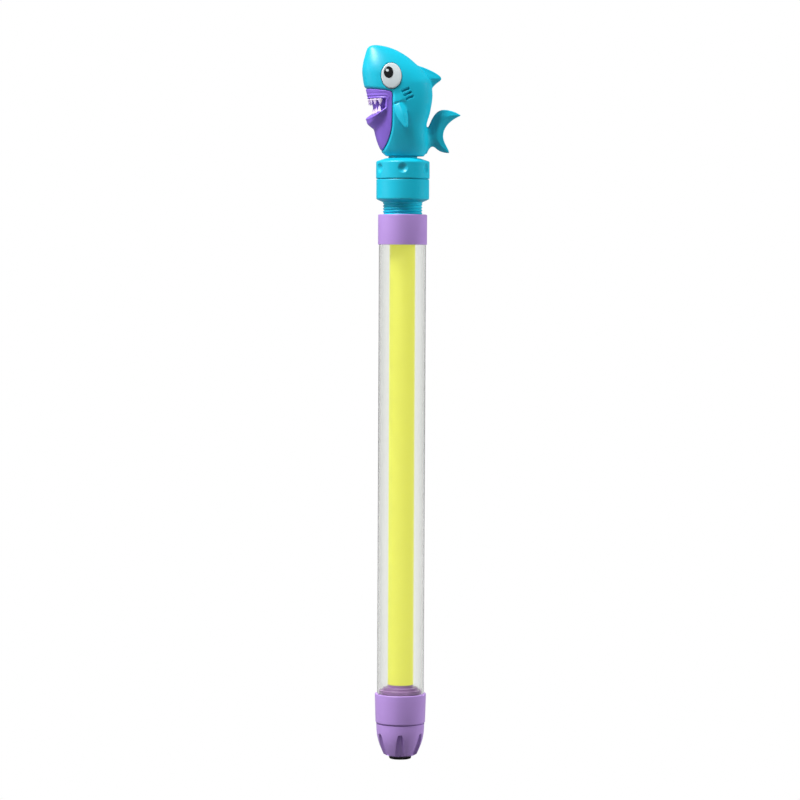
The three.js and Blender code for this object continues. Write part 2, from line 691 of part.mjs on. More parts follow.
// The shark's parts stand on the height of its foot.
function makeShark() {
  const skin = toSolid(loftShark(0, sharkHeight));
  const muzzle = makeMuzzle(skin);
  let shell = skin;
  for (const fin of [DORSAL_FIN, TAIL_FIN]) {
    shell = shell.add(toSolid(plate(drawOutline(fin), FIN_THICK, FIN_BEVEL)));
  }
  const headFoot = POST_LENGTH - SEAT_GAP;
  const headTop = headFoot + POST_HEAD_LENGTH;
  const stemR = POST_R + RUN_GAP;
  const headR = POST_HEAD_R + RUN_GAP;
  shell = shell.subtract(toSolid(revolve([
    [0, -WASHER_THICK], [stemR, -WASHER_THICK], [stemR, headFoot - RUN_GAP],
    [headR, headFoot - RUN_GAP], [headR, headFoot + RUN_GAP], [stemR, headTop + RUN_GAP],
    [0, headTop + RUN_GAP],
  ])));
  const parts = [];
  for (const [side, name] of [[-1, 'left'], [1, 'right']]) {
    shell = shell.add(toSolid(pectoralFin(side)));
    for (let i = 0; i < GILL_COUNT; i += 1) shell = shell.subtract(toSolid(gillSlot(side, i)));
    const eyeFrame = sideFrame(side, EYE_PLACE);
    const pupilFrame = eyeFrame.clone().multiply(
      new THREE.Matrix4().makeTranslation(...PUPIL_SHIFT, EYE_PROUD - PUPIL_SINK),
    );
    const eyeBlank = (grow) => ovalPad(EYE_WIDE, EYE_TALL, EYE_ROOT, EYE_PROUD, EYE_DOME, grow);
    const pupilBlank = (grow) => (
      ovalPad(PUPIL_WIDE, PUPIL_TALL, PUPIL_ROOT, PUPIL_PROUD, PUPIL_PROUD, grow)
    );
    const pupilHole = toSolid(pupilBlank(INSET_GAP / 2).applyMatrix4(pupilFrame));
    const eye = toSolid(eyeBlank(0).applyMatrix4(eyeFrame)).subtract(pupilHole);
    shell = shell.subtract(toSolid(eyeBlank(INSET_GAP).applyMatrix4(eyeFrame)));
    parts.push(node(`eye_${name}`, toGeometry(eye), white));
    parts.push(node(`pupil_${name}`, closed(pupilBlank(0).applyMatrix4(pupilFrame)), black));
  }
  shell = shell.subtract(muzzleRegion(INSET_GAP));
  const [left, right] = splitHalves(shell);
  const upperRoot = () => MOUTH_TOP - INSET_GAP;
  const lowerRoot = (x) => lipHeight(x) + INSET_GAP;
  return [
    node('shark_left', toGeometry(left), cyan),
    node('shark_right', toGeometry(right), cyan),
    node('mouth_belly', muzzle, lilac),
    node('teeth_upper', toothStrip(UPPER_TEETH, UPPER_TEETH_END, upperRoot, -1), ivory),
    node('teeth_lower', toothStrip(LOWER_TEETH, LOWER_TEETH_END, lowerRoot, 1), ivory),
    ...parts,
  ];
}

// Parts the shell at its middle plane; dowels on the left half sit in holes of the right half.
function splitHalves(shell) {
  const span = 2 * CUT_REACH + 2 * sharkHeight;
  const slab = (side) => {
    const box = new THREE.BoxGeometry(span, span, span);
    return toSolid(box.translate(0, side * (span + PARTING_GAP) / 2, 0));
  };
  let left = shell.intersect(slab(-1));
  let right = shell.intersect(slab(1));
  for (const [x, z] of DOWELS) {
    const dowel = new THREE.CylinderGeometry(DOWEL_R, DOWEL_R, 2 * DOWEL_LENGTH, SMALL_ROUND / 2);
    const hole = new THREE.CylinderGeometry(
      DOWEL_R + RUN_GAP, DOWEL_R + RUN_GAP, 2 * (DOWEL_LENGTH + RUN_GAP), SMALL_ROUND / 2,
    );
    left = left.add(toSolid(dowel.translate(x, 0, z)));
    right = right.subtract(toSolid(hole.translate(x, 0, z)));
  }
  return [left, right];
}

const barrel = group(
  node('barrel_tube', makeTube(), clear),
  node('top_collar', makeCollar(), lilac),
  node('guide_cap', makeGuideCap(), cyan),
  node('nozzle_sleeve', makeSleeve(), lilac),
);
const nozzle = group(
  node('nozzle_insert', makeInsert(), rubber),
  node('nozzle_nut', makeNut(), lilac),
);
const plunger = group(
  node('piston_rod', makeRod(), yellow),
  node('piston', makePiston(), lilac),
  node('piston_o_ring', makeRing(), rubber),
  node('handle_knob', makeKnob(), cyan),
);
const shark = group(...makeShark());
shark.position.z = sharkFoot;

const squirter = group(barrel, nozzle, plunger, shark);

export default squirter;
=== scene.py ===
import math
from functools import partial

import bmesh
import bpy
import numpy as np
from mathutils import Euler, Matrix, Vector


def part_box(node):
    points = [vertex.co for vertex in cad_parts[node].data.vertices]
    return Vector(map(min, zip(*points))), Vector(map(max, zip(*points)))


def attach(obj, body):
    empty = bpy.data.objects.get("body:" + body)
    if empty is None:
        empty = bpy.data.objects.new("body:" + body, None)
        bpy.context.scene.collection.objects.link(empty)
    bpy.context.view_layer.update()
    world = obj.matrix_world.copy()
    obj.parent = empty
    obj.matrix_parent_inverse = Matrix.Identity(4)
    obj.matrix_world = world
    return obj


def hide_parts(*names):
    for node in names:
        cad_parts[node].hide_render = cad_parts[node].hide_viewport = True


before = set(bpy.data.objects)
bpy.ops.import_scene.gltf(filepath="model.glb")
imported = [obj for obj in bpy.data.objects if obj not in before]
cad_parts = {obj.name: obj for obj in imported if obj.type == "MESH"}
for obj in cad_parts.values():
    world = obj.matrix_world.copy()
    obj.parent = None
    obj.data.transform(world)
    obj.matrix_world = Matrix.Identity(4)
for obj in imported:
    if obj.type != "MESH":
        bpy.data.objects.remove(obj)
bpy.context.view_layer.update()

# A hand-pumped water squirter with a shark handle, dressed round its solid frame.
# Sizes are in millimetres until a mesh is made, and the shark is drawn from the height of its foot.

bl_info = {
    "name": "Shark water squirter",
    "version": (1, 0, 0),
    "blender": (4, 5, 0),
    "location": "View3D > Sidebar > Squirter",
    "description": "Builds a clear pump squirter with a shark handle round its solid frame",
    "category": "Object",
}

MM = 0.001


def span(node):
    """A round node's radius, foot and top, in millimetres."""
    low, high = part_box(node)
    return high.x / MM, low.z / MM, high.z / MM


# Sizes that come from the frame
TUBE_R, TUBE_FOOT, TUBE_TOP = span("barrel_tube")
COLLAR_R, COLLAR_FOOT, COLLAR_TOP = span("top_collar")
CAP_R, NECK_FOOT, CAP_TOP = span("guide_cap")
SLEEVE_R, SPIGOT_FOOT, SLEEVE_TOP = span("nozzle_sleeve")
NUT_FOOT, NUT_TOP = span("nozzle_nut")[1:]
FLANGE_R, TIP_FOOT, FLANGE_TOP = span("nozzle_insert")
ROD_R, ROD_FOOT, ROD_TOP = span("piston_rod")
LAND_R, PISTON_FOOT, PLUG_TOP = span("piston")
RING_R, RING_FOOT, RING_TOP = span("piston_o_ring")
KNOB_R, KNOB_FOOT, HEAD_TOP = span("handle_knob")
SHARK_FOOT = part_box("shark_left")[0].z / MM

# Clearances
GLUE_GAP = 0.1
RUN_GAP = 0.25
SEAT_GAP = 0.2
INSET_GAP = 0.25

# Collar and guide cap
COLLAR_WALL = 1.05
COLLAR_INNER_RISE = 3
COLLAR_LIFT = 0.4
SEAM_LIFT = 0.4
CAP_LENGTH = 13.9
CAP_CHAMFER = 1.9
THREAD_ROWS = 10
THREAD_ROOT = 0.2
THREAD_FLANK = 0.5
THREAD_START = 0.6
THREAD_RUN_IN = 1.2
THREAD_END = 0.5
THREAD_RUN_OUT = 0.8
NECK_MARGIN = 0.01

# Nozzle
SLEEVE_DRAFT = 0.55
SLEEVE_LENGTH = 18.5
FITTING_LIFT = 0.5
BOWL_DEPTH = 3.5
BOWL_LEDGE = 2
PORT_R = 4
SPIGOT_R = 8.5
NUT_STEP = 0.45
NUT_TAPER = 4.6
NUT_BELLY = 1.35
NUT_CHAMFER = 1.1
NUT_HOLE_EDGE = 1
NUT_RIM_WIDE = 0.9
NUT_RIM_TALL = 0.7
NUT_OUTER_MARGIN = 0.05
NUT_FLOOR = 3
NUT_TIP_SHOWN = 0.9
NUT_ROWS = 70
FLUTE_TOP = 16.4
FLUTE_ARCH = 0.25
FLUTE_HOLLOW = 0.6
FLUTE_FOOT_SHARE = 0.7
SNOUT_R = 7
TIP_EDGE = 1.1
JET_R = 1.5
JET_LENGTH = 3

# Plunger and knob
PISTON_FOOT_LENGTH = 2.2
PISTON_GROOVE = 3.1
PISTON_CROWN = 2.4
PISTON_CORE_R = 10.7
CROWN_LIFT = 0.5
HUB_R = 10.9
ROD_LIFT = 1.8
KNOB_LENGTH = 10.9
KNOB_CONE = 2
KNOB_ROW = 0.35
SHOULDER_R = 10.6
SOCKET_DEPTH = 8
DIMPLE_HEIGHT = 6.6
WASHER_R = 9
WASHER_THICK = 1.1
POST_R = 6.5
POST_LENGTH = 8
POST_HEAD_R = 8.4
POST_HEAD_LENGTH = 3

# Shark outlines: height above its foot, then the distance from the turning axis
SHARK_FRONT = [
    (0, -11.5), (3.5, -15.1), (9, -17.6), (15, -19.2), (19, -19.8), (22.3, -20.2), (26, -20.6),
    (33, -22.2), (36, -23.5), (41, -24.8), (47, -26.1), (53, -26.7), (58, -26.1), (62, -25.1),
    (66, -23.9), (67.6, -22.9), (68.7, -21.3),
]
SHARK_BACK = [
    (0, 12.2), (8, 14.2), (18, 13.6), (28, 16), (38, 17.4), (45, 16.6), (52.5, 11.8), (58.2, 5.9),
    (62, 1.1), (65.7, -5.4), (67.6, -10.8), (68.7, -15.5),
]
SHARK_SIDE = [
    (0, 9.7), (4, 11.2), (12, 12.9), (20, 14.1), (28, 14.8), (36, 15), (44, 14.8), (50, 13.9),
    (55, 12.4), (60, 10), (64, 7.4), (67, 4.8), (68.7, 2.6),
]
SHARK_SQUARENESS = 2.25
FIGURE_SHIFT = 0.9
FOOT_ROUND = 0.5
CROWN_ROUND = 1.6
PARTING_GAP = 0.04
SEAM_DEPTH = 0.18

# Fins: outlines in X and height, a row of 2 numbers a line's end, 4 and 6 the bends of a curve
DORSAL_FIN = [
    (4, 57), (8.4, 56.4), (12.5, 55.4, 18.5, 53, 21.8, 50.6), (23.8, 49, 23.6, 47.8, 21.8, 46.6),
    (18.4, 44.4, 16.6, 41.2), (8, 41.2),
]
TAIL_FIN = [
    (6, 3.4), (14, 2.4), (15.2, 5.4, 17.5, 7.4, 20, 5.2), (22, 3.4, 24.5, 2.2, 28.6, 2.3),
    (28, 5.5, 24.6, 8.5, 24.6, 13), (24.6, 18.5, 29.5, 23, 36, 25.8),
    (33, 27.8, 29, 29.2, 25, 29.2), (19.5, 29, 17.5, 23.5, 15.8, 18.6), (14.4, 15.6, 12.8, 17.8),
    (6, 18),
]
FIN_HALF = 2.2
FIN_RIM_SHARE = 0.45
FIN_RIM = 5
FIN_ROUND = 0.7
DORSAL_BLEND = 0.9
TAIL_BLEND = 3.5
PECTORAL_ROOT = (-6.6, 31.8)
PECTORAL_TIP = (-2.4, 17.2)
PECTORAL_RIDGE = 1.2
PECTORAL_ROUND = 0.8
PECTORAL_SINK = 0.6
PECTORAL_STAND = 4.8
PECTORAL_WIDTH = [(0, 3.6), (0.2, 4), (0.45, 3.7), (0.75, 2.6), (0.92, 1.6), (1, 1)]
PECTORAL_DEPTH = [(0, 2.4), (0.4, 3), (1, 1.3)]
PECTORAL_BLEND = 0.9

# Gills, and the fold under the cheek, drawn over the side fin
GILL_PLACE = (-1, 38.1)
GILL_STEP = (1.27, -2.35)
GILL_LENGTH = 4.2
GILL_TILT = 24
GILL_WIDTH = 0.8
GILL_ROUND = 0.3
CHEEK_FOLD = [(-11, 30.5), (-7, 31.4), (-3.5, 32.6), (4.3, 33.6)]
CHEEK_RISE = 1
CHEEK_FALL = 8
CHEEK_EDGE = 2.4
CHEEK_BACK = 0.5
CHEEK_FADE = 7

# Muzzle and belly insert, its mouth and its teeth
MUZZLE = [
    (-60, 41.6), (-24.8, 41.6), (-12.6, 39.9), (-10.4, 39.6, -10.4, 37.4), (-10.4, 21),
    (-10.4, 12.1, -14.6, 3.2), (-60, 3.2),
]
MUZZLE_SINK = 0.35
MUZZLE_ROUND = 0.5
MUZZLE_SEAT_ROUND = 1.6
MOUTH = [
    (-60, 35.4), (-15.2, 35.4), (-14.2, 35.4, -14.2, 34.4), (-14.2, 30), (-14.6, 28.6, -24.5, 22.9),
    (-60, 22.9),
]
MOUTH_DEPTH = 1.3
MOUTH_ROUND = 1.1
CORNER_DEPTH = 3.1
CORNER_START = 6.5
CORNER_RUN = 5
LIP_LINE = [(-24.5, 22.9), (-19, 26), (-14.2, 29.2)]
LIP_WIDE = 1
FOLD_RISE = 0.22
FOLD_PITCH = 2.1
FOLD_REACH = 5
JAW = [(-60, 36), (-16, 34), (-13.2, 28.4), (-14.8, 22.6), (-20, 14.6), (-60, 8)]
JAW_RISE = 3.3
JAW_SLOPE = 5.6
JAW_SOFT = 0.2
UPPER_TEETH = 7
LOWER_TEETH = 6
UPPER_TEETH_END = -15.6
LOWER_TEETH_END = -16.4
TOOTH_SET_BACK = 0.9
TOOTH_HALF_WIDTH = 1.8
TOOTH_HALF_DEPTH = 0.9
TOOTH_TAPER = 0.62
GUM_HEIGHT = 0.9
GUM_HALF_DEPTH = 0.8
GUM_ROUND = 0.3

# Eyes
EYE_PLACE = (-11, 49.4)
EYE_ROOT = 2.2
EYE_EDGE = 0.6
EYE_POCKET_ROUND = 0.35
PUPIL_SHIFT = (-1.8, 1.8)
PUPIL_PROUD = 0.3
PUPIL_ROOT = 0.8
PUPIL_GAP = 0.12
PUPIL_EDGE = 0.3
CENTRED = (0, 0)
GLINT_SHIFT = (-2.6, 2.9)
GLINT_R = 0.95
GLINT_PROUD = 0.16
GLINT_EDGE = 0.2

# Boxes in which the figure is grown: the low and the high corner
SHARK_BOX = ((-28.3, -21.6, -1.4), (37.2, 0, 70.1))
MUZZLE_BOX = ((-28.3, -17.3, 1.8), (-8.4, 17.3, 43.3))
TEETH_BOX = ((-27.3, -16.2, 20.1), (-11.4, 16.2, 38.2))
EYE_BOX = ((-21.3, -17.2, 39.3), (-1.2, -5.1, 60.1))

# Mesh fineness
ROUND = 160
FINE_ROUND = 360
LONGEST_ROW = 20
ROUND_STEPS = 6
ROUND_LIMIT = 0.48
CURVE_STEPS = 10
WELD = 1e-7
TINY = 1e-6
SHARP = math.radians(38)
UNTANGLE_ROUNDS = 3
LEAST_INSIDE = 0.05
SETTLE_ROUNDS = 3
SETTLE_SHARE = 0.5
LEAST_RISE = 0.1
PROBE = 0.05
MUZZLE_STEP_SHARE = 0.8
SEAM_PLANE_SHARE = 0.6
SEAM_SKIN_SHARE = 0.8

# Materials
DRIFT_SCALE = 55
DRIFT_GLOSS = 0.12
GRAIN_GLOSS = 0.06
DEEP_SHARE = 0.72
# Painted highlight along the outward edges: its break-up scale, where it starts and is full, and how
# pale it gets
EDGE_HIGHLIGHT_BREAK_SCALE = 400
EDGE_HIGHLIGHT_START = 0.56
EDGE_HIGHLIGHT_FULL = 0.68
EDGE_HIGHLIGHT_PALE = 0.4
LINE_SCALE = 900
LINE_STRETCH = 0.02
LINE_GLOSS = 0.06
LINE_RELIEF = 0.0015
BUMP_STRENGTH = 0.35
PLASTIC_IOR = 1.49
CLEAR_IOR = 1.42
CLEAR_GLOSS = 0.1
# The rod's base colour is dimmed and a painted glow fills in its shading
ROD_BODY = 0.5
ROD_PAINTED_GLOW = 1.44
WHITE = (1, 1, 1, 1)

# Stage, in metres; a light has its place, size, power, and whether it shows in gloss
FLOOR_REACH = 8
FLOOR_TONE = 0.21
FLOOR_ROUGHNESS = 0.9
ROOM_LIGHT = 0.2
LIGHT_AIM = 0.26
LIGHTS = {
    "key": ((-1.85, -0.85, 3.3), 1.2, 225, True),
    "left": ((-1.93, 0.2, 0.65), 1.1, 13, False),
    "right": ((1.95, -0.2, 0.8), 1.1, 42, False),
    "back": ((0.1, 1.64, 1.45), 1.1, 15, False),
}

# The photograph's view: degrees, metres, and the sensor in millimetres
VIEW_AZIMUTH = -11
VIEW_DISTANCE = 1.95
VIEW_HEIGHT = 0.313
VIEW_WIDTH = 0.50034
VIEW_CENTRE = 0.22566
VIEW_SHIFT = -0.0011
VIEW_ROLL = 0.27
SENSOR_WIDTH = 36
PATTERN_ANGLE = math.radians(-90 + VIEW_AZIMUTH)


def tint(red, green, blue):
    """A colour given as display values from 0 to 255, as Blender's linear light."""
    shares = np.array((red, green, blue)) / 255
    return tuple(np.where(shares <= 0.04045, shares / 12.92, ((shares + 0.055) / 1.055) ** 2.4))


def length(label, about, millimetres):
    """A length property whose default is given in millimetres."""
    return bpy.props.FloatProperty(
        name=label, description=about, default=millimetres * MM, min=0, unit="LENGTH", precision=5
    )


def colour(label, about, *display):
    """A colour property whose default is given in display values."""
    return bpy.props.FloatVectorProperty(
        name=label, description=about, default=tint(*display), min=0, max=1, size=3, subtype="COLOR"
    )


class SquirterSizes(bpy.types.PropertyGroup):
    """The sizes that a maker would change."""

    tube_wall: length("Tube wall", "Wall of the clear barrel", 1.1)
    rod_wall: length("Rod wall", "Wall of the yellow rod", 1.6)
    thread_pitch: length("Thread pitch", "Rise of the cap's thread in one turn", 1.8)
    thread_depth: length("Thread depth", "Depth of the cap's thread", 0.6)
    flute_depth: length("Flute depth", "Depth of the nut's flutes at their top", 3.1)
    flute_width: length("Flute width", "Width of the nut's flutes at their foot", 6)
    dimple_width: length("Dimple width", "Width of the knob's finger dimples", 6.2)
    dimple_depth: length("Dimple depth", "Depth of the knob's finger dimples", 1.5)
    gill_depth: length("Gill depth", "Depth of the gill slits", 1.4)
    lip_rise: length("Lip rise", "How far the lips stand out round the mouth", 0.5)
    tooth_length: length("Tooth length", "Length of a tooth from its gum", 3.8)
    eye_wide: length("Eye width", "Width of the white eye pad", 12.5)
    eye_tall: length("Eye height", "Height of the white eye pad", 16.2)
    eye_proud: length("Eye stand", "How far the eye pad stands out of the head", 0.7)
    pupil_wide: length("Pupil width", "Width of the black pupil", 5.5)
    pupil_tall: length("Pupil height", "Height of the black pupil", 7)
    figure_step: length("Figure step", "Mesh step of the figure's body", 0.36)
    face_step: length("Face step", "Mesh step of the teeth and the eyes", 0.26)
    repeats: bpy.props.IntProperty(
        name="Repeats", description="Flutes round the nut and dimples round the knob", default=6, min=3
    )


class SquirterColours(bpy.types.PropertyGroup):
    """The colours of the plastics and rubber."""

    cyan: colour("Cyan", "Shark, knob and guide cap", 4, 178, 205)
    violet: colour("Violet", "Muzzle and belly of the shark", 132, 98, 206)
    lilac: colour("Lilac", "Collar, sleeve and nut", 168, 134, 202)
    # A darker copy of the lilac: painted shade for the piston inside the tube
    piston: colour("Piston", "Piston inside the tube", 108, 74, 120)
    yellow: colour("Yellow", "Piston rod", 165, 166, 54)
    clear: colour("Clear", "Barrel tube, seen straight on", 249, 250, 248)
    clear_rim: colour("Clear rim", "Barrel tube, seen along its wall", 222, 223, 222)
    rubber: colour("Rubber", "Jet and sealing ring", 22, 20, 23)
    ivory: colour("Ivory", "Teeth", 214, 196, 228)
    white: colour("White", "Eye pads and their glints", 196, 205, 208)
    pupil: colour("Pupil", "Pupils", 20, 22, 25)


# Profiles and turned meshes


def soften(corners):
    """Rounds a closed profile of (radius, height, rounding) corners."""
    loop = []
    for i, (radius, height, rounding) in enumerate(corners):
        here = np.array((radius, height), float)
        if rounding == 0:
            loop.append(here)
            continue
        before = np.array(corners[i - 1][:2]) - here
        after = np.array(corners[(i + 1) % len(corners)][:2]) - here
        sides = np.linalg.norm(before), np.linalg.norm(after)
        reach = min(rounding, ROUND_LIMIT * min(sides))
        start = here + before / sides[0] * reach
        end = here + after / sides[1] * reach
        for t in np.linspace(0, 1, ROUND_STEPS):
            loop.append((1 - t) ** 2 * start + 2 * t * (1 - t) * here + t * t * end)
    return np.array(loop)


def divide(loop, longest):
    """Adds points to a closed profile until no stretch is longer than that."""
    points = []
    for here, after in zip(loop, np.roll(loop, -1, axis=0)):
        parts = max(1, math.ceil(np.linalg.norm(after - here) / longest))
        points.extend(here + (after - here) * i / parts for i in range(parts))
    return np.array(points)


def turn(loop, segments=ROUND, carve=None):
    """Turns a closed (radius, height) profile about the Z axis; carve gives each point its radius."""
    angle = np.arange(segments)[:, None] * 2 * math.pi / segments
    radius = np.broadcast_to(loop[:, 0], (segments, len(loop)))
    height = np.broadcast_to(loop[:, 1], radius.shape)
    if carve:
        radius = carve(angle, radius, height)
    points = np.stack([radius * np.cos(angle), radius * np.sin(angle), height], axis=-1)
    index = np.arange(radius.size).reshape(radius.shape)
    right = np.roll(index, -1, axis=0)
    corners = [index, right, np.roll(right, -1, axis=1), np.roll(index, -1, axis=1)]
    return points.reshape(-1, 3), np.stack(corners, axis=-1).reshape(-1, 4)


def make_mesh(name, points, faces):
    """A clean closed mesh in metres, smooth but for its sharp edges."""
    mesh = bpy.data.meshes.new(name)
    mesh.from_pydata((points * MM).tolist(), [], faces.tolist())
    sheet = bmesh.new()
    sheet.from_mesh(mesh)
    bmesh.ops.remove_doubles(sheet, verts=sheet.verts, dist=WELD)
    loose = [edge for edge in sheet.edges if not edge.link_faces]
    bmesh.ops.delete(sheet, geom=loose, context="EDGES")
    bmesh.ops.recalc_face_normals(sheet, faces=sheet.faces)
    sheet.to_mesh(mesh)
    sheet.free()
    mesh.shade_smooth()
    mesh.set_sharp_from_angle(angle=SHARP)
    return mesh


def place(name, shape, material, body, slot, node=None):
    """Makes a piece from its points and faces, and sets it on its body in place of its node."""
    mesh = make_mesh(name, *shape)
    mesh.materials.append(material)
    piece = bpy.data.objects.new(name, mesh)
    bpy.context.scene.collection.objects.link(piece)
    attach(piece, body)
    if node:
        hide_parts(node)
    return piece


def nearest_repeat(angle, repeats):
    """The angle from the nearest of some repeats round the axis, the first facing the view."""
    step = 2 * math.pi / repeats
    return (angle - PATTERN_ANGLE + step / 2) % step - step / 2


# Fields: a shape is where its field is below zero, in millimetres from its skin


def smooth_min(a, b, blend):
    """The lower of two fields, with a rounded join."""
    share = np.clip(0.5 + 0.5 * (b - a) / blend, 0, 1)
    return b + (a - b) * share - blend * share * (1 - share)


def smooth_max(a, b, blend):
    """The higher of two fields, with a rounded edge."""
    return -smooth_min(-a, -b, blend)


def ease(share):
    """A soft step from 0 to 1."""
    share = np.clip(share, 0, 1)
    return share * share * (3 - 2 * share)


def curve_through(pairs):
    """A smooth curve through (place, value) pairs that never overshoots them."""
    places, values = np.array(pairs, float).T
    gaps = np.diff(places)
    slopes = np.diff(values) / gaps
    before, after = slopes[:-1], slopes[1:]
    total = np.where(before * after > 0, before + after, 1)
    tangents = np.concatenate(
        [slopes[:1], np.where(before * after > 0, 2 * before * after / total, 0), slopes[-1:]]
    )

    def curve(place):
        i = np.clip(np.searchsorted(places, place) - 1, 0, len(gaps) - 1)
        t = np.clip((place - places[i]) / gaps[i], 0, 1)
        bend = t * (1 - t) * ((1 - t) * tangents[i] - t * tangents[i + 1]) * gaps[i]
        return values[i] + (values[i + 1] - values[i]) * ease(t) + bend

    return curve


def trace(rows):
    """The points of an outline given by its start and the rows of its lines and curves."""
    loop = [np.array(rows[0], float)]
    for row in rows[1:]:
        bends = np.array([loop[-1], *np.reshape(row, (-1, 2))], float)
        steps = 1 if len(bends) == 2 else CURVE_STEPS
        for t in np.arange(1, steps + 1) / steps:
            points = bends
            while len(points) > 1:
                points = points[:-1] * (1 - t) + points[1:] * t
            loop.append(points[0])
    return np.array(loop)


def stroke_parts(u, v, start, end):
    """How far along a straight stroke the nearest point lies, and the two parts of the way from it."""
    along_u, along_v = end[0] - start[0], end[1] - start[1]
    from_u, from_v = u - start[0], v - start[1]
    t = np.clip((from_u * along_u + from_v * along_v) / (along_u**2 + along_v**2), 0, 1)
    return t, from_u - t * along_u, from_v - t * along_v


def outline_field(x, z, loop):
    """The distance from an outline in the side view, below zero inside it."""
    nearest = np.inf
    inside = np.zeros(np.broadcast(x, z).shape, bool)
    for start, end in zip(loop, np.roll(loop, -1, axis=0)):
        _, off_x, off_z = stroke_parts(x, z, start, end)
        nearest = np.minimum(nearest, off_x**2 + off_z**2)
        along_x, along_z = end - start
        if along_z != 0:
            left_of = x - start[0] < along_x * (z - start[1]) / along_z
            inside ^= ((start[1] > z) != (end[1] > z)) & left_of
    return np.where(inside, -1, 1) * np.sqrt(nearest)


def dot(parts, direction):
    """How far an offset, given by its three parts, reaches in a direction."""
    return sum(a * b for a, b in zip(parts, direction))


shark_front = curve_through(SHARK_FRONT)
shark_back = curve_through(SHARK_BACK)
shark_side = curve_through(SHARK_SIDE)
pectoral_width = curve_through(PECTORAL_WIDTH)
pectoral_depth = curve_through(PECTORAL_DEPTH)
cheek_fold = curve_through(CHEEK_FOLD)
lip_line = curve_through(LIP_LINE)
DORSAL_LOOP = trace(DORSAL_FIN)
TAIL_LOOP = trace(TAIL_FIN)
MUZZLE_LOOP = trace(MUZZLE)
MOUTH_LOOP = trace(MOUTH)
JAW_LOOP = trace(JAW)


def section(height):
    """The middle, half length and half width of the shark's section."""
    front, back = shark_front(height), shark_back(height)
    return (front + back) / 2, (back - front) / 2, shark_side(height)


def body_field(x, y, z):
    """The shark's egg-shaped body with no fins."""
    middle, long, wide = section(z)
    power = SHARK_SQUARENESS
    share = (np.abs((x - middle) / long) ** power + np.abs(y / wide) ** power) ** (1 / power)
    skin = (share - 1) * np.minimum(long, wide)
    skin = smooth_max(skin, -z, FOOT_ROUND)
    return smooth_max(skin, z - SHARK_FRONT[-1][0], CROWN_ROUND)


def side_reach(x, height):
    """How far the body's side stands from its middle plane."""
    middle, long, wide = section(height)
    share = abs((x - middle) / long)
    return wide * (1 - share**SHARK_SQUARENESS) ** (1 / SHARK_SQUARENESS)


def fin_field(x, y, z, loop):
    """A fin in the middle plane, thinner towards its rim."""
    flat = outline_field(x, z, loop)
    half = FIN_HALF * (FIN_RIM_SHARE + (1 - FIN_RIM_SHARE) * ease(-flat / FIN_RIM))
    side = np.abs(y) - half
    corner = np.hypot(np.maximum(flat + FIN_ROUND, 0), np.maximum(side + FIN_ROUND, 0))
    return corner + np.minimum(np.maximum(flat, side) + FIN_ROUND, 0) - FIN_ROUND


def pectoral_field(x, y, z):
    """The leaf-shaped fin on each side, standing away from the body towards its tip."""
    root_y = side_reach(*PECTORAL_ROOT) - PECTORAL_SINK
    tip_y = side_reach(*PECTORAL_TIP) + PECTORAL_STAND
    root = Vector((PECTORAL_ROOT[0], root_y, PECTORAL_ROOT[1]))
    down = Vector((PECTORAL_TIP[0], tip_y, PECTORAL_TIP[1])) - root
    reach = down.length
    down.normalize()
    out = down.cross(Vector((1, 0, 0))).normalized()
    across = out.cross(down)
    from_root = (x - root.x, np.abs(y) - root.y, z - root.z)
    along = dot(from_root, down)
    share = np.clip(along / reach, 0, 1)
    width, depth = pectoral_width(share), pectoral_depth(share)
    wide, deep = dot(from_root, across) / width, dot(from_root, out) / depth
    ridge = np.abs(wide) ** PECTORAL_RIDGE + np.abs(deep) ** PECTORAL_RIDGE
    leaf = (ridge ** (1 / PECTORAL_RIDGE) - 1) * depth
    return smooth_max(smooth_max(leaf, along - reach, PECTORAL_ROUND), -along, PECTORAL_ROUND)


def groove_field(x, z, skin, start, end, width, depth):
    """A round-bottomed groove along a stroke on the skin."""
    _, off_x, off_z = stroke_parts(x, z, start, end)
    return np.hypot(np.hypot(off_x, off_z), skin * width / depth) - width


def cheek_rise(x, z):
    """How far the cheek stands out above its fold, fading upwards and towards the back."""
    above = z - cheek_fold(x)
    upright = ease(above / CHEEK_EDGE) * ease(1 - above / CHEEK_FALL)
    return CHEEK_RISE * upright * ease((CHEEK_BACK - x) / CHEEK_FADE)


def gill_strokes():
    """The two ends of each gill slit in the side view."""
    tilt = math.radians(GILL_TILT)
    half = np.array((math.cos(tilt), math.sin(tilt))) * GILL_LENGTH / 2
    for offset in (-1, 0, 1):
        middle = np.add(GILL_PLACE, np.multiply(GILL_STEP, offset))
        yield middle - half, middle + half


def eye_frame():
    """The middle of the right eye, and the directions back and up along the head there."""
    middle = np.array((EYE_PLACE[0], side_reach(*EYE_PLACE), EYE_PLACE[1]))
    out = Vector(gradient(body_field, middle[None, :])[0]).normalized()
    up = (Vector((0, 0, 1)) - out * out.z).normalized()
    return middle, out.cross(up), up


def eye_oval(x, y, z, wide, tall, shift=CENTRED):
    """The distance from an oval that runs straight into the head at the eye."""
    middle, back, up = eye_frame()
    from_middle = (x - middle[0], np.abs(y) - middle[1], z - middle[2])
    u, v = dot(from_middle, back) - shift[0], dot(from_middle, up) - shift[1]
    return (np.hypot(2 * u / wide, 2 * v / tall) - 1) * min(wide, tall) / 2


def eye_layer(x, y, z, size, shift, foot, top, edge, hole=None):
    """An oval of the eye from one height over the skin to another, less the hole for the next layer."""
    skin = body_field(x, y, z)
    oval = eye_oval(x, y, z, *size, shift)
    shape = np.maximum(smooth_max(skin - top, oval, edge), foot - skin)
    if hole:
        hole_size, hole_shift, hole_foot = hole
        room = eye_oval(x, y, z, *hole_size, hole_shift) - PUPIL_GAP
        shape = np.maximum(shape, -np.maximum(room, hole_foot - PUPIL_GAP - skin))
    return shape


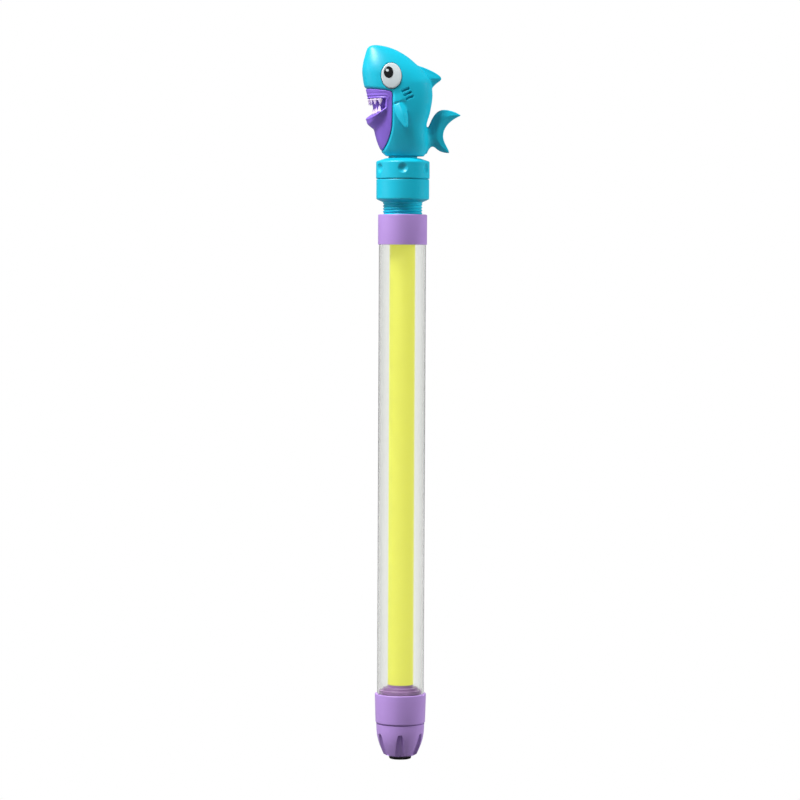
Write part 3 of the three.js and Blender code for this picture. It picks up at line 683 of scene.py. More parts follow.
def post_field(x, y, z):
    """The room in the shark's foot for the knob's post and its head."""
    radius = np.hypot(x, y)
    head_foot = POST_LENGTH - SEAT_GAP - RUN_GAP
    head_top = head_foot + POST_HEAD_LENGTH + 2 * RUN_GAP
    stem = np.maximum(radius - POST_R - RUN_GAP, z - head_top)
    head = np.maximum(radius - POST_HEAD_R - RUN_GAP, np.maximum(head_foot - z, z - head_top))
    return np.minimum(stem, head)


def shark_field(x, y, z, sizes):
    """The cyan shell with its fins, gills, eye pockets and the seat of the muzzle."""
    skin = body_field(x, y, z) - cheek_rise(x, z)
    shape = smooth_min(skin, fin_field(x, y, z, DORSAL_LOOP), DORSAL_BLEND)
    shape = smooth_min(shape, fin_field(x, y, z, TAIL_LOOP), TAIL_BLEND)
    shape = smooth_min(shape, pectoral_field(x, y, z), PECTORAL_BLEND)
    for start, end in gill_strokes():
        slit = groove_field(x, z, skin, start, end, GILL_WIDTH, sizes.gill_depth / MM)
        shape = smooth_max(shape, -slit, GILL_ROUND)
    shape = smooth_max(shape, INSET_GAP - outline_field(x, z, MUZZLE_LOOP), MUZZLE_SEAT_ROUND)
    oval = eye_oval(x, y, z, sizes.eye_wide / MM, sizes.eye_tall / MM) - INSET_GAP
    pocket = np.maximum(oval, -(skin + EYE_ROOT + INSET_GAP))
    shape = smooth_max(shape, -pocket, EYE_POCKET_ROUND)
    return np.maximum(shape, -post_field(x + FIGURE_SHIFT, y, z))


def muzzle_field(x, y, z, sizes):
    """The violet insert: folded upper lip, open mouth, jutting jaw and flat belly."""
    skin = body_field(x, y, z)
    mouth = outline_field(x, z, MOUTH_LOOP)
    lips = sizes.lip_rise / MM * np.exp(-((mouth / LIP_WIDE) ** 2))
    fold = np.cos(2 * math.pi * mouth / FOLD_PITCH) * ease(1 - np.abs(mouth) / FOLD_REACH)
    folds = FOLD_RISE * fold * (z > MOUTH[0][1])
    share = smooth_min(-outline_field(x, z, JAW_LOOP) / JAW_SLOPE, 1, JAW_SOFT)
    jaw = JAW_RISE * smooth_max(share, 0, JAW_SOFT)
    shape = skin + MUZZLE_SINK - lips - folds - jaw
    shape = smooth_max(shape, outline_field(x, z, MUZZLE_LOOP), MUZZLE_ROUND)
    depth = MOUTH_DEPTH + CORNER_DEPTH * ease((np.abs(y) - CORNER_START) / CORNER_RUN)
    hollow = np.maximum(mouth, -(skin + depth))
    return smooth_max(shape, -hollow, MOUTH_ROUND)


def section_point(angle, height, inset):
    """A point of the shark's section drawn in by an inset; half a turn is its snout."""
    middle, long, wide = section(height)
    power = 2 / SHARK_SQUARENESS
    cosine, sine = math.cos(angle), math.sin(angle)
    x = middle + (long - inset) * math.copysign(abs(cosine) ** power, cosine)
    return np.array((x, (wide - inset) * math.copysign(abs(sine) ** power, sine), height))


def tooth_roots(count, end_x, root_line):
    """Where a row of teeth stands round the front of the mouth, with one place more at each end."""
    height = float(root_line(end_x))
    middle, long, _ = section(height)
    first = math.acos(-(((middle - end_x) / (long - TOOTH_SET_BACK)) ** (SHARK_SQUARENESS / 2)))
    roots = []
    for i in range(-1, count + 1):
        angle = first + 2 * (math.pi - first) * (i + 0.5) / count
        root = section_point(angle, height, TOOTH_SET_BACK)
        roots.append(section_point(angle, float(root_line(root[0])), TOOTH_SET_BACK))
    return roots


def teeth_field(x, y, z, roots, reach):
    """A row of pointed teeth on a low gum; their reach is below zero when they hang."""
    row = np.inf
    for before, root, after in zip(roots[:-2], roots[1:-1], roots[2:]):
        along = (after - before)[:2] / np.linalg.norm((after - before)[:2])
        side = (x - root[0]) * along[0] + (y - root[1]) * along[1]
        deep = (y - root[1]) * along[0] - (x - root[0]) * along[1]
        rise = (z - root[2]) / reach
        slim = np.clip(1 - rise, 0, 1) ** TOOTH_TAPER
        tooth = np.hypot(side / TOOTH_HALF_WIDTH, deep / TOOTH_HALF_DEPTH) - slim
        tooth = np.maximum(tooth * TOOTH_HALF_DEPTH, np.maximum(rise - 1, -rise) * abs(reach))
        row = np.minimum(row, tooth)
    for start, end in zip(roots[1:-2], roots[2:-1]):
        t, off_x, off_y = stroke_parts(x, y, start, end)
        away = np.hypot(off_x, off_y) - GUM_HALF_DEPTH
        rise = (z - start[2] - t * (end[2] - start[2])) * math.copysign(1, reach)
        gum = smooth_max(away, np.maximum(rise - GUM_HEIGHT, -rise), GUM_ROUND)
        row = smooth_min(row, gum, GUM_ROUND)
    return row


def gradient(field, points):
    """The steepest rise of a field at some points."""
    rises = []
    for axis in range(3):
        step = np.zeros(3)
        step[axis] = PROBE
        rises.append((field(*(points + step).T) - field(*(points - step).T)) / (2 * PROBE))
    return np.stack(rises, axis=1)


def settle(field, points, step):
    """Moves points straight onto the skin of a field."""
    rise = gradient(field, points)
    steep = np.maximum((rise**2).sum(axis=1), LEAST_RISE)
    move = (field(*points.T) / steep)[:, None] * rise
    return points - np.clip(move, -step / 2, step / 2)


def untangle(value, least):
    """Fills the grid squares whose inside corners meet only across a diagonal."""
    whole, near, far = slice(None), slice(None, -1), slice(1, None)
    for _ in range(UNTANGLE_ROUNDS):
        for axis in range(3):
            corners = []
            for pair in ((near, near), (far, near), (near, far), (far, far)):
                slices = list(pair)
                slices.insert(axis, whole)
                corners.append(tuple(slices))
            one, two, three, four = [value[corner] < 0 for corner in corners]
            crossed = (one == four) & (two == three) & (one != two)
            for corner in corners:
                value[corner] = np.where(crossed, np.minimum(value[corner], -least), value[corner])
    return value


def wrap(value, axes, step):
    """Points and four-sided faces between the grid points below zero and the others."""
    inside = value < 0
    hits = np.zeros(value.size)
    total = np.zeros((value.size, 3))
    faces = []
    for axis in range(3):
        near = tuple(slice(None, -1) if n == axis else slice(None) for n in range(3))
        far = tuple(slice(1, None) if n == axis else slice(None) for n in range(3))
        crossing = np.stack(np.nonzero(inside[near] != inside[far]), axis=1)
        low_value = value[near][tuple(crossing.T)]
        high_value = value[far][tuple(crossing.T)]
        spots = np.stack([axes[n][crossing[:, n]] for n in range(3)], axis=1)
        spots[:, axis] += step * low_value / (low_value - high_value)
        first, second = [n for n in range(3) if n != axis]
        corners = []
        for back_first, back_second in ((1, 1), (0, 1), (0, 0), (1, 0)):
            cell = crossing.copy()
            cell[:, first] -= back_first
            cell[:, second] -= back_second
            flat = np.ravel_multi_index(cell.T, value.shape)
            hits += np.bincount(flat, minlength=value.size)
            for n in range(3):
                total[:, n] += np.bincount(flat, weights=spots[:, n], minlength=value.size)
            corners.append(flat)
        faces.append(np.stack(corners, axis=1))
    used = hits > 0
    index = np.cumsum(used) - 1
    return total[used] / hits[used, None], index[np.concatenate(faces)]


def relax(field, points, faces, step):
    """Evens out the points of a skin and moves them onto its field."""
    edges = np.concatenate([faces[:, [n, (n + 1) % 4]] for n in range(4)])
    ends = edges.ravel()
    counts = np.bincount(ends, minlength=len(points))[:, None]
    for _ in range(SETTLE_ROUNDS):
        points = settle(field, points, step)
        others = points[edges[:, ::-1].ravel()]
        around = np.stack([np.bincount(ends, others[:, n], len(points)) for n in range(3)], axis=1)
        points = points + (around / counts - points) * SETTLE_SHARE
    return settle(field, settle(field, points, step), step)


def grow(field, low, high, step):
    """A closed skin round the places in a box where a field is below zero."""
    axes = [np.arange(a, b + step, step) for a, b in zip(low, high)]
    value = field(*np.meshgrid(*axes, indexing="ij", sparse=True))
    value = np.broadcast_to(value, [len(axis) for axis in axes]).copy()
    points, faces = wrap(untangle(value, LEAST_INSIDE * step), axes, step)
    return relax(field, points, faces, step), faces


def lifted(shape):
    """A part of the figure at its place on the squirter."""
    points, faces = shape
    return points + np.array((FIGURE_SHIFT, 0, SHARK_FOOT)), faces


def mirrored(shape):
    """The same part on the shark's other side."""
    points, faces = shape
    return points * np.array((1, -1, 1)), faces


# Materials


def feed(tree, sockets, terms):
    """Gives sockets their terms in turn, each another socket to link or a value."""
    for socket, term in zip(sockets, terms):
        if isinstance(term, bpy.types.NodeSocket):
            tree.links.new(term, socket)
        else:
            socket.default_value = term


def connect(tree, node, **terms):
    """Feeds a node's sockets by name, with underscores for spaces."""
    feed(tree, [node.inputs[name.replace("_", " ")] for name in terms], terms.values())
    return node


def link_group(tree, name, **terms):
    """Places a node group in a material, feeds it and returns what it puts out."""
    node = tree.nodes.new("ShaderNodeGroup")
    node.node_tree = shared_group(name)
    return connect(tree, node, **terms).outputs


def start_group(name, inputs, outputs):
    """A new shader node group with its sockets, and what it takes in."""
    group = bpy.data.node_groups.new(name, "ShaderNodeTree")
    for labels, way in ((inputs, "INPUT"), (outputs, "OUTPUT")):
        for label in labels:
            kind = "NodeSocketColor" if label.endswith("Colour") else "NodeSocketFloat"
            group.interface.new_socket(label, in_out=way, socket_type=kind)
    return group, group.nodes.new("NodeGroupInput").outputs


def end_group(group, **results):
    """Links the results of a node group to its output."""
    connect(group, group.nodes.new("NodeGroupOutput"), **results)
    return group


def noise(group, scale, detail, stretch=(1, 1, 1)):
    """A noise that lies still on the object, in metres."""
    spot = group.nodes.new("ShaderNodeTexCoord").outputs["Object"]
    mapping = connect(group, group.nodes.new("ShaderNodeMapping"), Vector=spot, Scale=stretch)
    texture = group.nodes.new("ShaderNodeTexNoise")
    connect(group, texture, Vector=mapping.outputs["Vector"], Scale=scale, Detail=detail)
    return texture.outputs["Fac"]


def calculate(tree, operation, *terms):
    """A math node; each term is a socket or a number."""
    node = tree.nodes.new("ShaderNodeMath")
    node.operation = operation
    feed(tree, node.inputs, terms)
    return node.outputs["Value"]


def mix_colours(tree, *terms):
    """A colour mix node; its share and two colours are sockets or values."""
    node = tree.nodes.new("ShaderNodeMix")
    node.data_type = "RGBA"
    feed(tree, [node.inputs[n] for n in (0, 6, 7)], terms)
    return node.outputs[2]


def show_mix(tree, output, *terms):
    """Sends a mix of two shaders, given after its share, to the output node."""
    mixed = tree.nodes.new("ShaderNodeMixShader")
    feed(tree, mixed.inputs, terms)
    connect(tree, tree.nodes[output], Surface=mixed.outputs["Shader"])


def moulded_group(name):
    """Moulded plastic: slow drifts of tone, fine tool grain and a little flow in the gloss."""
    inputs = ("Colour", "Deep Colour", "Drift Scale", "Grain Scale", "Drift", "Gloss")
    group, taken = start_group(name, inputs, ("Colour", "Roughness", "Height"))
    drift = noise(group, taken["Drift Scale"], detail=3)
    grain = noise(group, taken["Grain Scale"], detail=2)
    share = calculate(group, "MULTIPLY", drift, taken["Drift"])
    tone = mix_colours(group, share, taken["Colour"], taken["Deep Colour"])
    flow = calculate(group, "MULTIPLY", drift, DRIFT_GLOSS)
    speck = calculate(group, "MULTIPLY", grain, GRAIN_GLOSS)
    rough = calculate(group, "ADD", calculate(group, "ADD", taken["Gloss"], flow), speck)
    return end_group(group, Colour=tone, Roughness=rough, Height=grain)


def edge_highlight_group(name):
    """Painted highlight: a mask that is strongest on the outward edges, broken up by noise."""
    group, taken = start_group(name, ("Strength", "Break Scale"), ("Mask",))
    shape = group.nodes.new("ShaderNodeNewGeometry")
    ramp = group.nodes.new("ShaderNodeValToRGB")
    for element, position in zip(ramp.color_ramp.elements, (EDGE_HIGHLIGHT_START, EDGE_HIGHLIGHT_FULL)):
        element.position = position
    connect(group, ramp, Fac=shape.outputs["Pointiness"])
    breaks = noise(group, taken["Break Scale"], detail=4)
    mask = calculate(group, "MULTIPLY", ramp.outputs["Color"], breaks)
    return end_group(group, Mask=calculate(group, "MULTIPLY", mask, taken["Strength"]))


def drawn_group(name):
    """Faint lines along the axis, as on an extruded tube, for the gloss and the relief."""
    group, taken = start_group(name, ("Line Scale", "Gloss"), ("Roughness", "Height"))
    lines = noise(group, taken["Line Scale"], detail=3, stretch=(1, 1, LINE_STRETCH))
    streak = calculate(group, "MULTIPLY", lines, LINE_GLOSS)
    return end_group(group, Roughness=calculate(group, "ADD", taken["Gloss"], streak), Height=lines)


def shared_group(name):
    """A node group by name, made at its first use."""
    makers = {"moulded plastic": moulded_group, "edge wear": edge_highlight_group, "drawn lines": drawn_group}
    return bpy.data.node_groups.get(name) or makers[name](name)


def start_material(name):
    """A new node material with its shader."""
    material = bpy.data.materials.new(name)
    material.use_nodes = True
    return material, material.node_tree, material.node_tree.nodes["Principled BSDF"]


def add_relief(tree, shader, height, millimetres):
    """Feeds a height through a bump node to the shader's normal."""
    bump = tree.nodes.new("ShaderNodeBump")
    connect(tree, bump, Strength=BUMP_STRENGTH, Distance=millimetres * MM, Height=height)
    connect(tree, shader, Normal=bump.outputs["Normal"])


def dimmed(rgb, share):
    """A darker tone of a colour."""
    return tuple(part * share for part in rgb)


def plastic(name, rgb, gloss=0.32, drift=0.3, grain=2600, relief=0.02, wear=0.25):
    """An opaque moulded plastic or rubber, made once."""
    found = bpy.data.materials.get(name)
    if found:
        return found
    material, tree, shader = start_material(name)
    skin = link_group(
        tree, "moulded plastic", Colour=(*rgb, 1), Deep_Colour=(*dimmed(rgb, DEEP_SHARE), 1),
        Drift_Scale=DRIFT_SCALE, Grain_Scale=grain, Drift=drift, Gloss=gloss,
    )
    # Painted highlight: the outward edges are mixed towards a paler tone of the colour
    edges = link_group(tree, "edge wear", Strength=wear, Break_Scale=EDGE_HIGHLIGHT_BREAK_SCALE)
    pale = (*(part * (1 - EDGE_HIGHLIGHT_PALE) + EDGE_HIGHLIGHT_PALE for part in rgb), 1)
    tone = mix_colours(tree, edges["Mask"], skin["Colour"], pale)
    connect(tree, shader, Base_Color=tone, Roughness=skin["Roughness"], IOR=PLASTIC_IOR)
    add_relief(tree, shader, skin["Height"], relief)
    return material


def black_rubber(colours):
    """The rubber of the jet and the sealing ring."""
    return plastic("black rubber", colours.rubber, gloss=0.5, grain=1500, relief=0.04)


def fluorescent_plastic_with_painted_glow(name, rgb):
    """The rod's fluorescent yellow plastic, with a painted glow that evens out its shading: its base
    colour is dimmed and it gives out light of its own.
    """
    material = plastic(name, dimmed(rgb, ROD_BODY), gloss=0.5, drift=0.15, wear=0.1)
    tree = material.node_tree
    shader = tree.nodes["Principled BSDF"]
    # Painted glow: the rod gives out light though it is no lamp
    connect(tree, shader, Emission_Color=(*rgb, 1), Emission_Strength=ROD_PAINTED_GLOW)
    return material


def clear_plastic(name, rgb, rim_rgb):
    """The barrel's clear plastic, greyer towards its sides; shadow rays pass and light its inside."""
    material, tree, shader = start_material(name)
    facing = tree.nodes.new("ShaderNodeLayerWeight").outputs["Facing"]
    tone = mix_colours(tree, facing, (*rgb, 1), (*rim_rgb, 1))
    lines = link_group(tree, "drawn lines", Line_Scale=LINE_SCALE, Gloss=CLEAR_GLOSS)
    connect(tree, shader, Base_Color=tone, Roughness=lines["Roughness"])
    connect(tree, shader, Transmission_Weight=1, IOR=CLEAR_IOR)
    add_relief(tree, shader, lines["Height"], LINE_RELIEF)
    through = connect(tree, tree.nodes.new("ShaderNodeBsdfTransparent"), Color=(*rgb, 1))
    shadow = tree.nodes.new("ShaderNodeLightPath").outputs["Is Shadow Ray"]
    show_mix(tree, "Material Output", shadow, shader.outputs["BSDF"], through.outputs["BSDF"])
    return material


def seen_share(tree):
    """One for what the camera sees, also through clear plastic, and zero for other light."""
    path = tree.nodes.new("ShaderNodeLightPath").outputs
    return calculate(tree, "MAXIMUM", path["Is Camera Ray"], path["Is Transmission Ray"])


# Operators


class SquirterOperator:
    """What the operators share: undo, and the sizes and colours of the scene."""

    bl_options = {"REGISTER", "UNDO"}

    def execute(self, context):
        self.build(context.scene.squirter_sizes, context.scene.squirter_colours)
        return {"FINISHED"}


class SQUIRTER_OT_barrel(SquirterOperator, bpy.types.Operator):
    """Builds the clear barrel tube"""

    bl_idname = "squirter.barrel"
    bl_label = "Barrel Tube"

    def build(self, sizes, colours):
        bore = TUBE_R - sizes.tube_wall / MM
        loop = soften([
            (bore, TUBE_FOOT, 0.2), (TUBE_R, TUBE_FOOT, 0.2), (TUBE_R, TUBE_TOP, 0.2),
            (bore, TUBE_TOP, 0.2),
        ])
        clear = clear_plastic("clear tube", colours.clear, colours.clear_rim)
        tube = turn(divide(loop, LONGEST_ROW))
        place("clear_barrel", tube, clear, "barrel", "clear_tube", "barrel_tube")


class SQUIRTER_OT_collar(SquirterOperator, bpy.types.Operator):
    """Builds the lilac collar round the top of the tube"""

    bl_idname = "squirter.collar"
    bl_label = "Top Collar"

    def build(self, sizes, colours):
        skirt = TUBE_R + GLUE_GAP
        wall = TUBE_R - sizes.tube_wall / MM - GLUE_GAP
        thread = wall - COLLAR_WALL
        foot, rim = COLLAR_FOOT + COLLAR_LIFT, COLLAR_TOP + COLLAR_LIFT
        inner_foot = foot + COLLAR_INNER_RISE
        loop = soften([
            (skirt, foot, 0), (COLLAR_R, foot, 0.3), (COLLAR_R, rim, 0.7),
            (thread, rim, 0.4), (thread, inner_foot, 0.2), (wall, inner_foot, 0.2),
            (wall, TUBE_TOP + GLUE_GAP, 0), (skirt, TUBE_TOP + GLUE_GAP, 0),
        ])
        lilac = plastic("lilac plastic", colours.lilac)
        place("lilac_collar", turn(loop), lilac, "barrel", "lilac_plastic", "top_collar")


class SQUIRTER_OT_guide_cap(SquirterOperator, bpy.types.Operator):
    """Builds the guide cap with the thread on its neck"""

    bl_idname = "squirter.guide_cap"
    bl_label = "Guide Cap"

    def build(self, sizes, colours):
        bore = ROD_R + RUN_GAP
        neck = TUBE_R - sizes.tube_wall / MM - GLUE_GAP - COLLAR_WALL - SEAT_GAP
        foot = CAP_TOP - CAP_LENGTH
        pitch, depth = sizes.thread_pitch / MM, sizes.thread_depth / MM
        loop = divide(soften([
            (bore, NECK_FOOT, 0.3), (neck, NECK_FOOT, 0.4), (neck, foot, 0),
            (CAP_R, foot + CAP_CHAMFER, 0.8),
            (CAP_R, CAP_TOP + SEAM_LIFT, 0.7), (bore, CAP_TOP + SEAM_LIFT, 0.3),
        ]), pitch / THREAD_ROWS)

        def cut_thread(angle, radius, height):
            turns = (height - NECK_FOOT) / pitch - angle / (2 * math.pi)
            ridge = np.abs(2 * (turns % 1) - 1)
            crest = ease((ridge - THREAD_ROOT) / THREAD_FLANK)
            run_in = ease((height - NECK_FOOT - THREAD_START) / THREAD_RUN_IN)
            run_out = ease((foot - THREAD_END - height) / THREAD_RUN_OUT)
            on_neck = np.abs(radius - neck) < NECK_MARGIN
            return radius - depth * (1 - crest) * on_neck * run_in * run_out

        cyan = plastic("cyan plastic", colours.cyan)
        cap = turn(loop, ROUND, cut_thread)
        place("threaded_cap", cap, cyan, "barrel", "cyan_plastic", "guide_cap")


class SQUIRTER_OT_sleeve(SquirterOperator, bpy.types.Operator):
    """Builds the lilac socket under the tube"""

    bl_idname = "squirter.sleeve"
    bl_label = "Nozzle Sleeve"

    def build(self, sizes, colours):
        skirt = TUBE_R + GLUE_GAP
        rim = SLEEVE_TOP + FITTING_LIFT
        foot = rim - SLEEVE_LENGTH
        foot_r = SLEEVE_R - SLEEVE_DRAFT
        ledge = TUBE_R - sizes.tube_wall / MM - BOWL_LEDGE
        loop = soften([
            (PORT_R, SPIGOT_FOOT, 0.2), (SPIGOT_R, SPIGOT_FOOT, 0.4), (SPIGOT_R, foot, 0),
            (foot_r, foot, 1), (SLEEVE_R, rim, 0.6), (skirt, rim, 0.2),
            (skirt, TUBE_FOOT - GLUE_GAP, 0), (ledge, TUBE_FOOT - GLUE_GAP, 0.5),
            (PORT_R, TUBE_FOOT - BOWL_DEPTH, 0.5),
        ])
        lilac = plastic("lilac plastic", colours.lilac)
        place("tube_socket", turn(loop), lilac, "barrel", "lilac_plastic", "nozzle_sleeve")


class SQUIRTER_OT_nozzle(SquirterOperator, bpy.types.Operator):
    """Builds the rubber jet and the fluted nut that clamps it"""

    bl_idname = "squirter.nozzle"
    bl_label = "Jet and Nut"

    def build(self, sizes, colours):
        self.build_jet(colours)
        self.build_nut(sizes, colours)

    def build_jet(self, colours):
        flange_foot = NUT_FOOT + NUT_FLOOR
        loop = soften([
            (JET_R, TIP_FOOT, 0.3), (SNOUT_R, TIP_FOOT, TIP_EDGE), (SNOUT_R, flange_foot, 0),
            (FLANGE_R, flange_foot, 0.2), (FLANGE_R, FLANGE_TOP, 0.2), (PORT_R, FLANGE_TOP, 0.2),
            (PORT_R, JET_LENGTH + PORT_R - JET_R, 0.3), (JET_R, JET_LENGTH, 0.3),
        ])
        rubber = black_rubber(colours)
        place("rubber_jet", turn(loop), rubber, "jet", "black_rubber", "nozzle_insert")

    def build_nut(self, sizes, colours):
        hole = SNOUT_R + RUN_GAP
        thread = SPIGOT_R + RUN_GAP
        floor = NUT_FOOT + NUT_FLOOR - SEAT_GAP / 2
        foot = NUT_FOOT + NUT_TIP_SHOWN
        cone_foot = foot + NUT_CHAMFER
        top = NUT_TOP + FITTING_LIFT
        top_r = SLEEVE_R - SLEEVE_DRAFT - NUT_STEP
        half, depth = sizes.flute_width / MM / 2, sizes.flute_depth / MM
        share = np.linspace(0, 1, NUT_ROWS)
        cone_r = top_r - NUT_TAPER * (1 - share) + NUT_BELLY * np.sin(math.pi * share)
        cone = np.stack([cone_r, cone_foot + (top - cone_foot) * share], axis=1)
        rim = soften([
            (cone_r[0], cone_foot, 0), (cone_r[-1], top - NUT_RIM_TALL, 0.5),
            (cone_r[-1] - NUT_RIM_WIDE, top, 0.4), (thread, top, 0.3), (thread, floor, 0),
            (hole, floor, 0), (hole, foot, 0.2), (hole + NUT_HOLE_EDGE, foot, 0.4),
        ])
        loop = np.concatenate([cone[:-1], rim[1:]])
        outer = loop[:, 0] > thread + NUT_OUTER_MARGIN

        def cut_flutes(angle, radius, height):
            across = radius * np.sin(nearest_repeat(angle, sizes.repeats))
            fall = np.clip((FLUTE_TOP - height) / (FLUTE_TOP - NUT_FOOT), 0, 1)
            width = np.maximum(half * fall**FLUTE_ARCH, TINY)
            hollow = np.clip(1 - (across / width) ** 2, 0, 1) ** FLUTE_HOLLOW
            deep = depth * (1 + (FLUTE_FOOT_SHARE - 1) * fall)
            return radius - deep * hollow * (fall > 0) * outer

        lilac = plastic("lilac plastic", colours.lilac)
        nut = turn(loop, FINE_ROUND, cut_flutes)
        place("fluted_nut", nut, lilac, "nut", "lilac_plastic", "nozzle_nut")


class SQUIRTER_OT_plunger(SquirterOperator, bpy.types.Operator):
    """Builds the yellow rod, the piston on its end and the sealing ring"""

    bl_idname = "squirter.plunger"
    bl_label = "Rod and Piston"

    def build(self, sizes, colours):
        bore = ROD_R - sizes.rod_wall / MM
        rod_foot = ROD_FOOT + ROD_LIFT
        rod = soften([
            (bore, rod_foot, 0.2), (ROD_R, rod_foot, 0.3), (ROD_R, ROD_TOP, 0.3), (bore, ROD_TOP, 0.2),
        ])
        yellow = fluorescent_plastic_with_painted_glow("yellow rod", colours.yellow)
        tube = turn(divide(rod, LONGEST_ROW))
        place("yellow_tube", tube, yellow, "plunger", "yellow_rod", "piston_rod")

        groove_foot = PISTON_FOOT + PISTON_FOOT_LENGTH
        groove_top = groove_foot + PISTON_GROOVE
        crown_top = groove_top + PISTON_CROWN + CROWN_LIFT
        plug = bore - SEAT_GAP
        piston = soften([
            (0, PISTON_FOOT, 0), (LAND_R, PISTON_FOOT, 0.5), (LAND_R, groove_foot, 0.2),
            (PISTON_CORE_R, groove_foot, 0.1), (PISTON_CORE_R, groove_top, 0.1),
            (LAND_R, groove_top, 0.2), (LAND_R, crown_top, 0.5), (HUB_R, crown_top, 0.3),
            (HUB_R, ROD_FOOT, 0.4), (ROD_R, ROD_FOOT, 0.3), (ROD_R, rod_foot - GLUE_GAP, 0.2),
            (plug, rod_foot - GLUE_GAP, 0), (plug, PLUG_TOP, 0.8), (0, PLUG_TOP, 0),
        ])
        # The piston is lilac plastic like the collar; its darker colour is painted shade for the inside
        # of the tube
        shaded = plastic("piston lilac with painted shade", colours.piston, gloss=0.25)
        place("piston_body", turn(piston), shaded, "plunger", "lilac_plastic", "piston")

        section_r = (RING_TOP - RING_FOOT) / 2
        around = np.linspace(0, 2 * math.pi, 4 * ROUND_STEPS, endpoint=False)
        radius = RING_R - section_r + section_r * np.cos(around)
        height = RING_FOOT + section_r + section_r * np.sin(around)
        seal = turn(np.stack([radius, height], axis=1))
        place("piston_seal", seal, black_rubber(colours), "plunger", "black_rubber", "piston_o_ring")


class SQUIRTER_OT_knob(SquirterOperator, bpy.types.Operator):
    """Builds the dimpled knob with the post on which the shark turns"""

    bl_idname = "squirter.knob"
    bl_label = "Handle Knob"

    def build(self, sizes, colours):
        socket = ROD_R + GLUE_GAP
        foot = KNOB_FOOT + SEAM_LIFT
        rim = foot + KNOB_LENGTH
        top = rim + KNOB_CONE
        washer = top + WASHER_THICK
        head_foot = washer + POST_LENGTH
        loop = divide(soften([
            (0, KNOB_FOOT + SOCKET_DEPTH, 0), (socket, KNOB_FOOT + SOCKET_DEPTH, 0),
            (socket, foot, 0.4), (KNOB_R, foot, 0.8), (KNOB_R, rim, 0.9), (SHOULDER_R, top, 0.6),
            (WASHER_R, top, 0.2), (WASHER_R, washer, 0.3), (POST_R, washer, 0.3),
            (POST_R, head_foot, 0.2), (POST_HEAD_R, head_foot, 0.3), (POST_R, HEAD_TOP, 0.6),
            (0, HEAD_TOP, 0),
        ]), KNOB_ROW)
        half, depth = sizes.dimple_width / MM / 2, sizes.dimple_depth / MM

        def press_dimples(angle, radius, height):
            across = radius * np.sin(nearest_repeat(angle, sizes.repeats))
            away = np.hypot(across, height - foot - DIMPLE_HEIGHT) / half
            bowl = np.clip(1 - away**2, 0, 1)
            return radius - depth * bowl * (radius > SHOULDER_R)

        cyan = plastic("cyan plastic", colours.cyan)
        knob = turn(loop, FINE_ROUND, press_dimples)
        place("dimpled_knob", knob, cyan, "plunger", "cyan_plastic", "handle_knob")


class SQUIRTER_OT_shark(SquirterOperator, bpy.types.Operator):
    """Builds the two halves of the shark with their fins"""

    bl_idname = "squirter.shark"
    bl_label = "Shark Halves"

    def build(self, sizes, colours):
        step = sizes.figure_step / MM
        plane = -PARTING_GAP / 2
        whole = partial(shark_field, sizes=sizes)

        def left_half(x, y, z):
            return np.maximum(whole(x, y, z), y - plane)

        def seam(x, y, z):
            return whole(x, y, z) + SEAM_DEPTH

        # The parting plane lies midway between two layers of the grid
        (low_x, low_y, low_z), (high_x, _, high_z) = SHARK_BOX
        layers = math.ceil(-low_y / step) + 0.5
        low, high = (low_x, plane - layers * step, low_z), (high_x, plane + 2 * step, high_z)
        points, faces = grow(left_half, low, high, step)
        near_plane = np.abs(points[:, 1] - plane) < SEAM_PLANE_SHARE * step
        rim = near_plane & (np.abs(whole(*points.T)) < SEAM_SKIN_SHARE * step)
        for _ in range(SETTLE_ROUNDS):
            points[rim, 1] = plane
            points[rim] = settle(seam, points[rim], step)
        points[rim, 1] = plane
        left = lifted((points, faces))
        cyan = plastic("shark plastic", colours.cyan, wear=0)
        place("shark_left_half", left, cyan, "shark", "cyan_plastic", "shark_left")
        place("shark_right_half", mirrored(left), cyan, "shark", "cyan_plastic", "shark_right")


class SQUIRTER_OT_muzzle(SquirterOperator, bpy.types.Operator):
    """Builds the muzzle and belly insert with the teeth in its mouth"""

    bl_idname = "squirter.muzzle"
    bl_label = "Muzzle and Teeth"

    def build(self, sizes, colours):
        violet = plastic("violet plastic", colours.violet, wear=0)
        step = MUZZLE_STEP_SHARE * sizes.figure_step / MM
        muzzle = lifted(grow(partial(muzzle_field, sizes=sizes), *MUZZLE_BOX, step))
        place("muzzle_insert", muzzle, violet, "shark", "lilac_plastic", "mouth_belly")

        ivory = plastic("ivory teeth", colours.ivory, gloss=0.22, drift=0.25)
        reach = sizes.tooth_length / MM
        rows = (
            ("upper", UPPER_TEETH, UPPER_TEETH_END, lambda x: MOUTH[0][1] - RUN_GAP, -reach),
            ("lower", LOWER_TEETH, LOWER_TEETH_END, lambda x: lip_line(x) + RUN_GAP, reach),
        )
        for name, count, end_x, root_line, way in rows:
            row = partial(teeth_field, roots=tooth_roots(count, end_x, root_line), reach=way)
            teeth = lifted(grow(row, *TEETH_BOX, sizes.face_step / MM))
            place(f"{name}_tooth_row", teeth, ivory, "shark", "ivory_teeth", f"teeth_{name}")


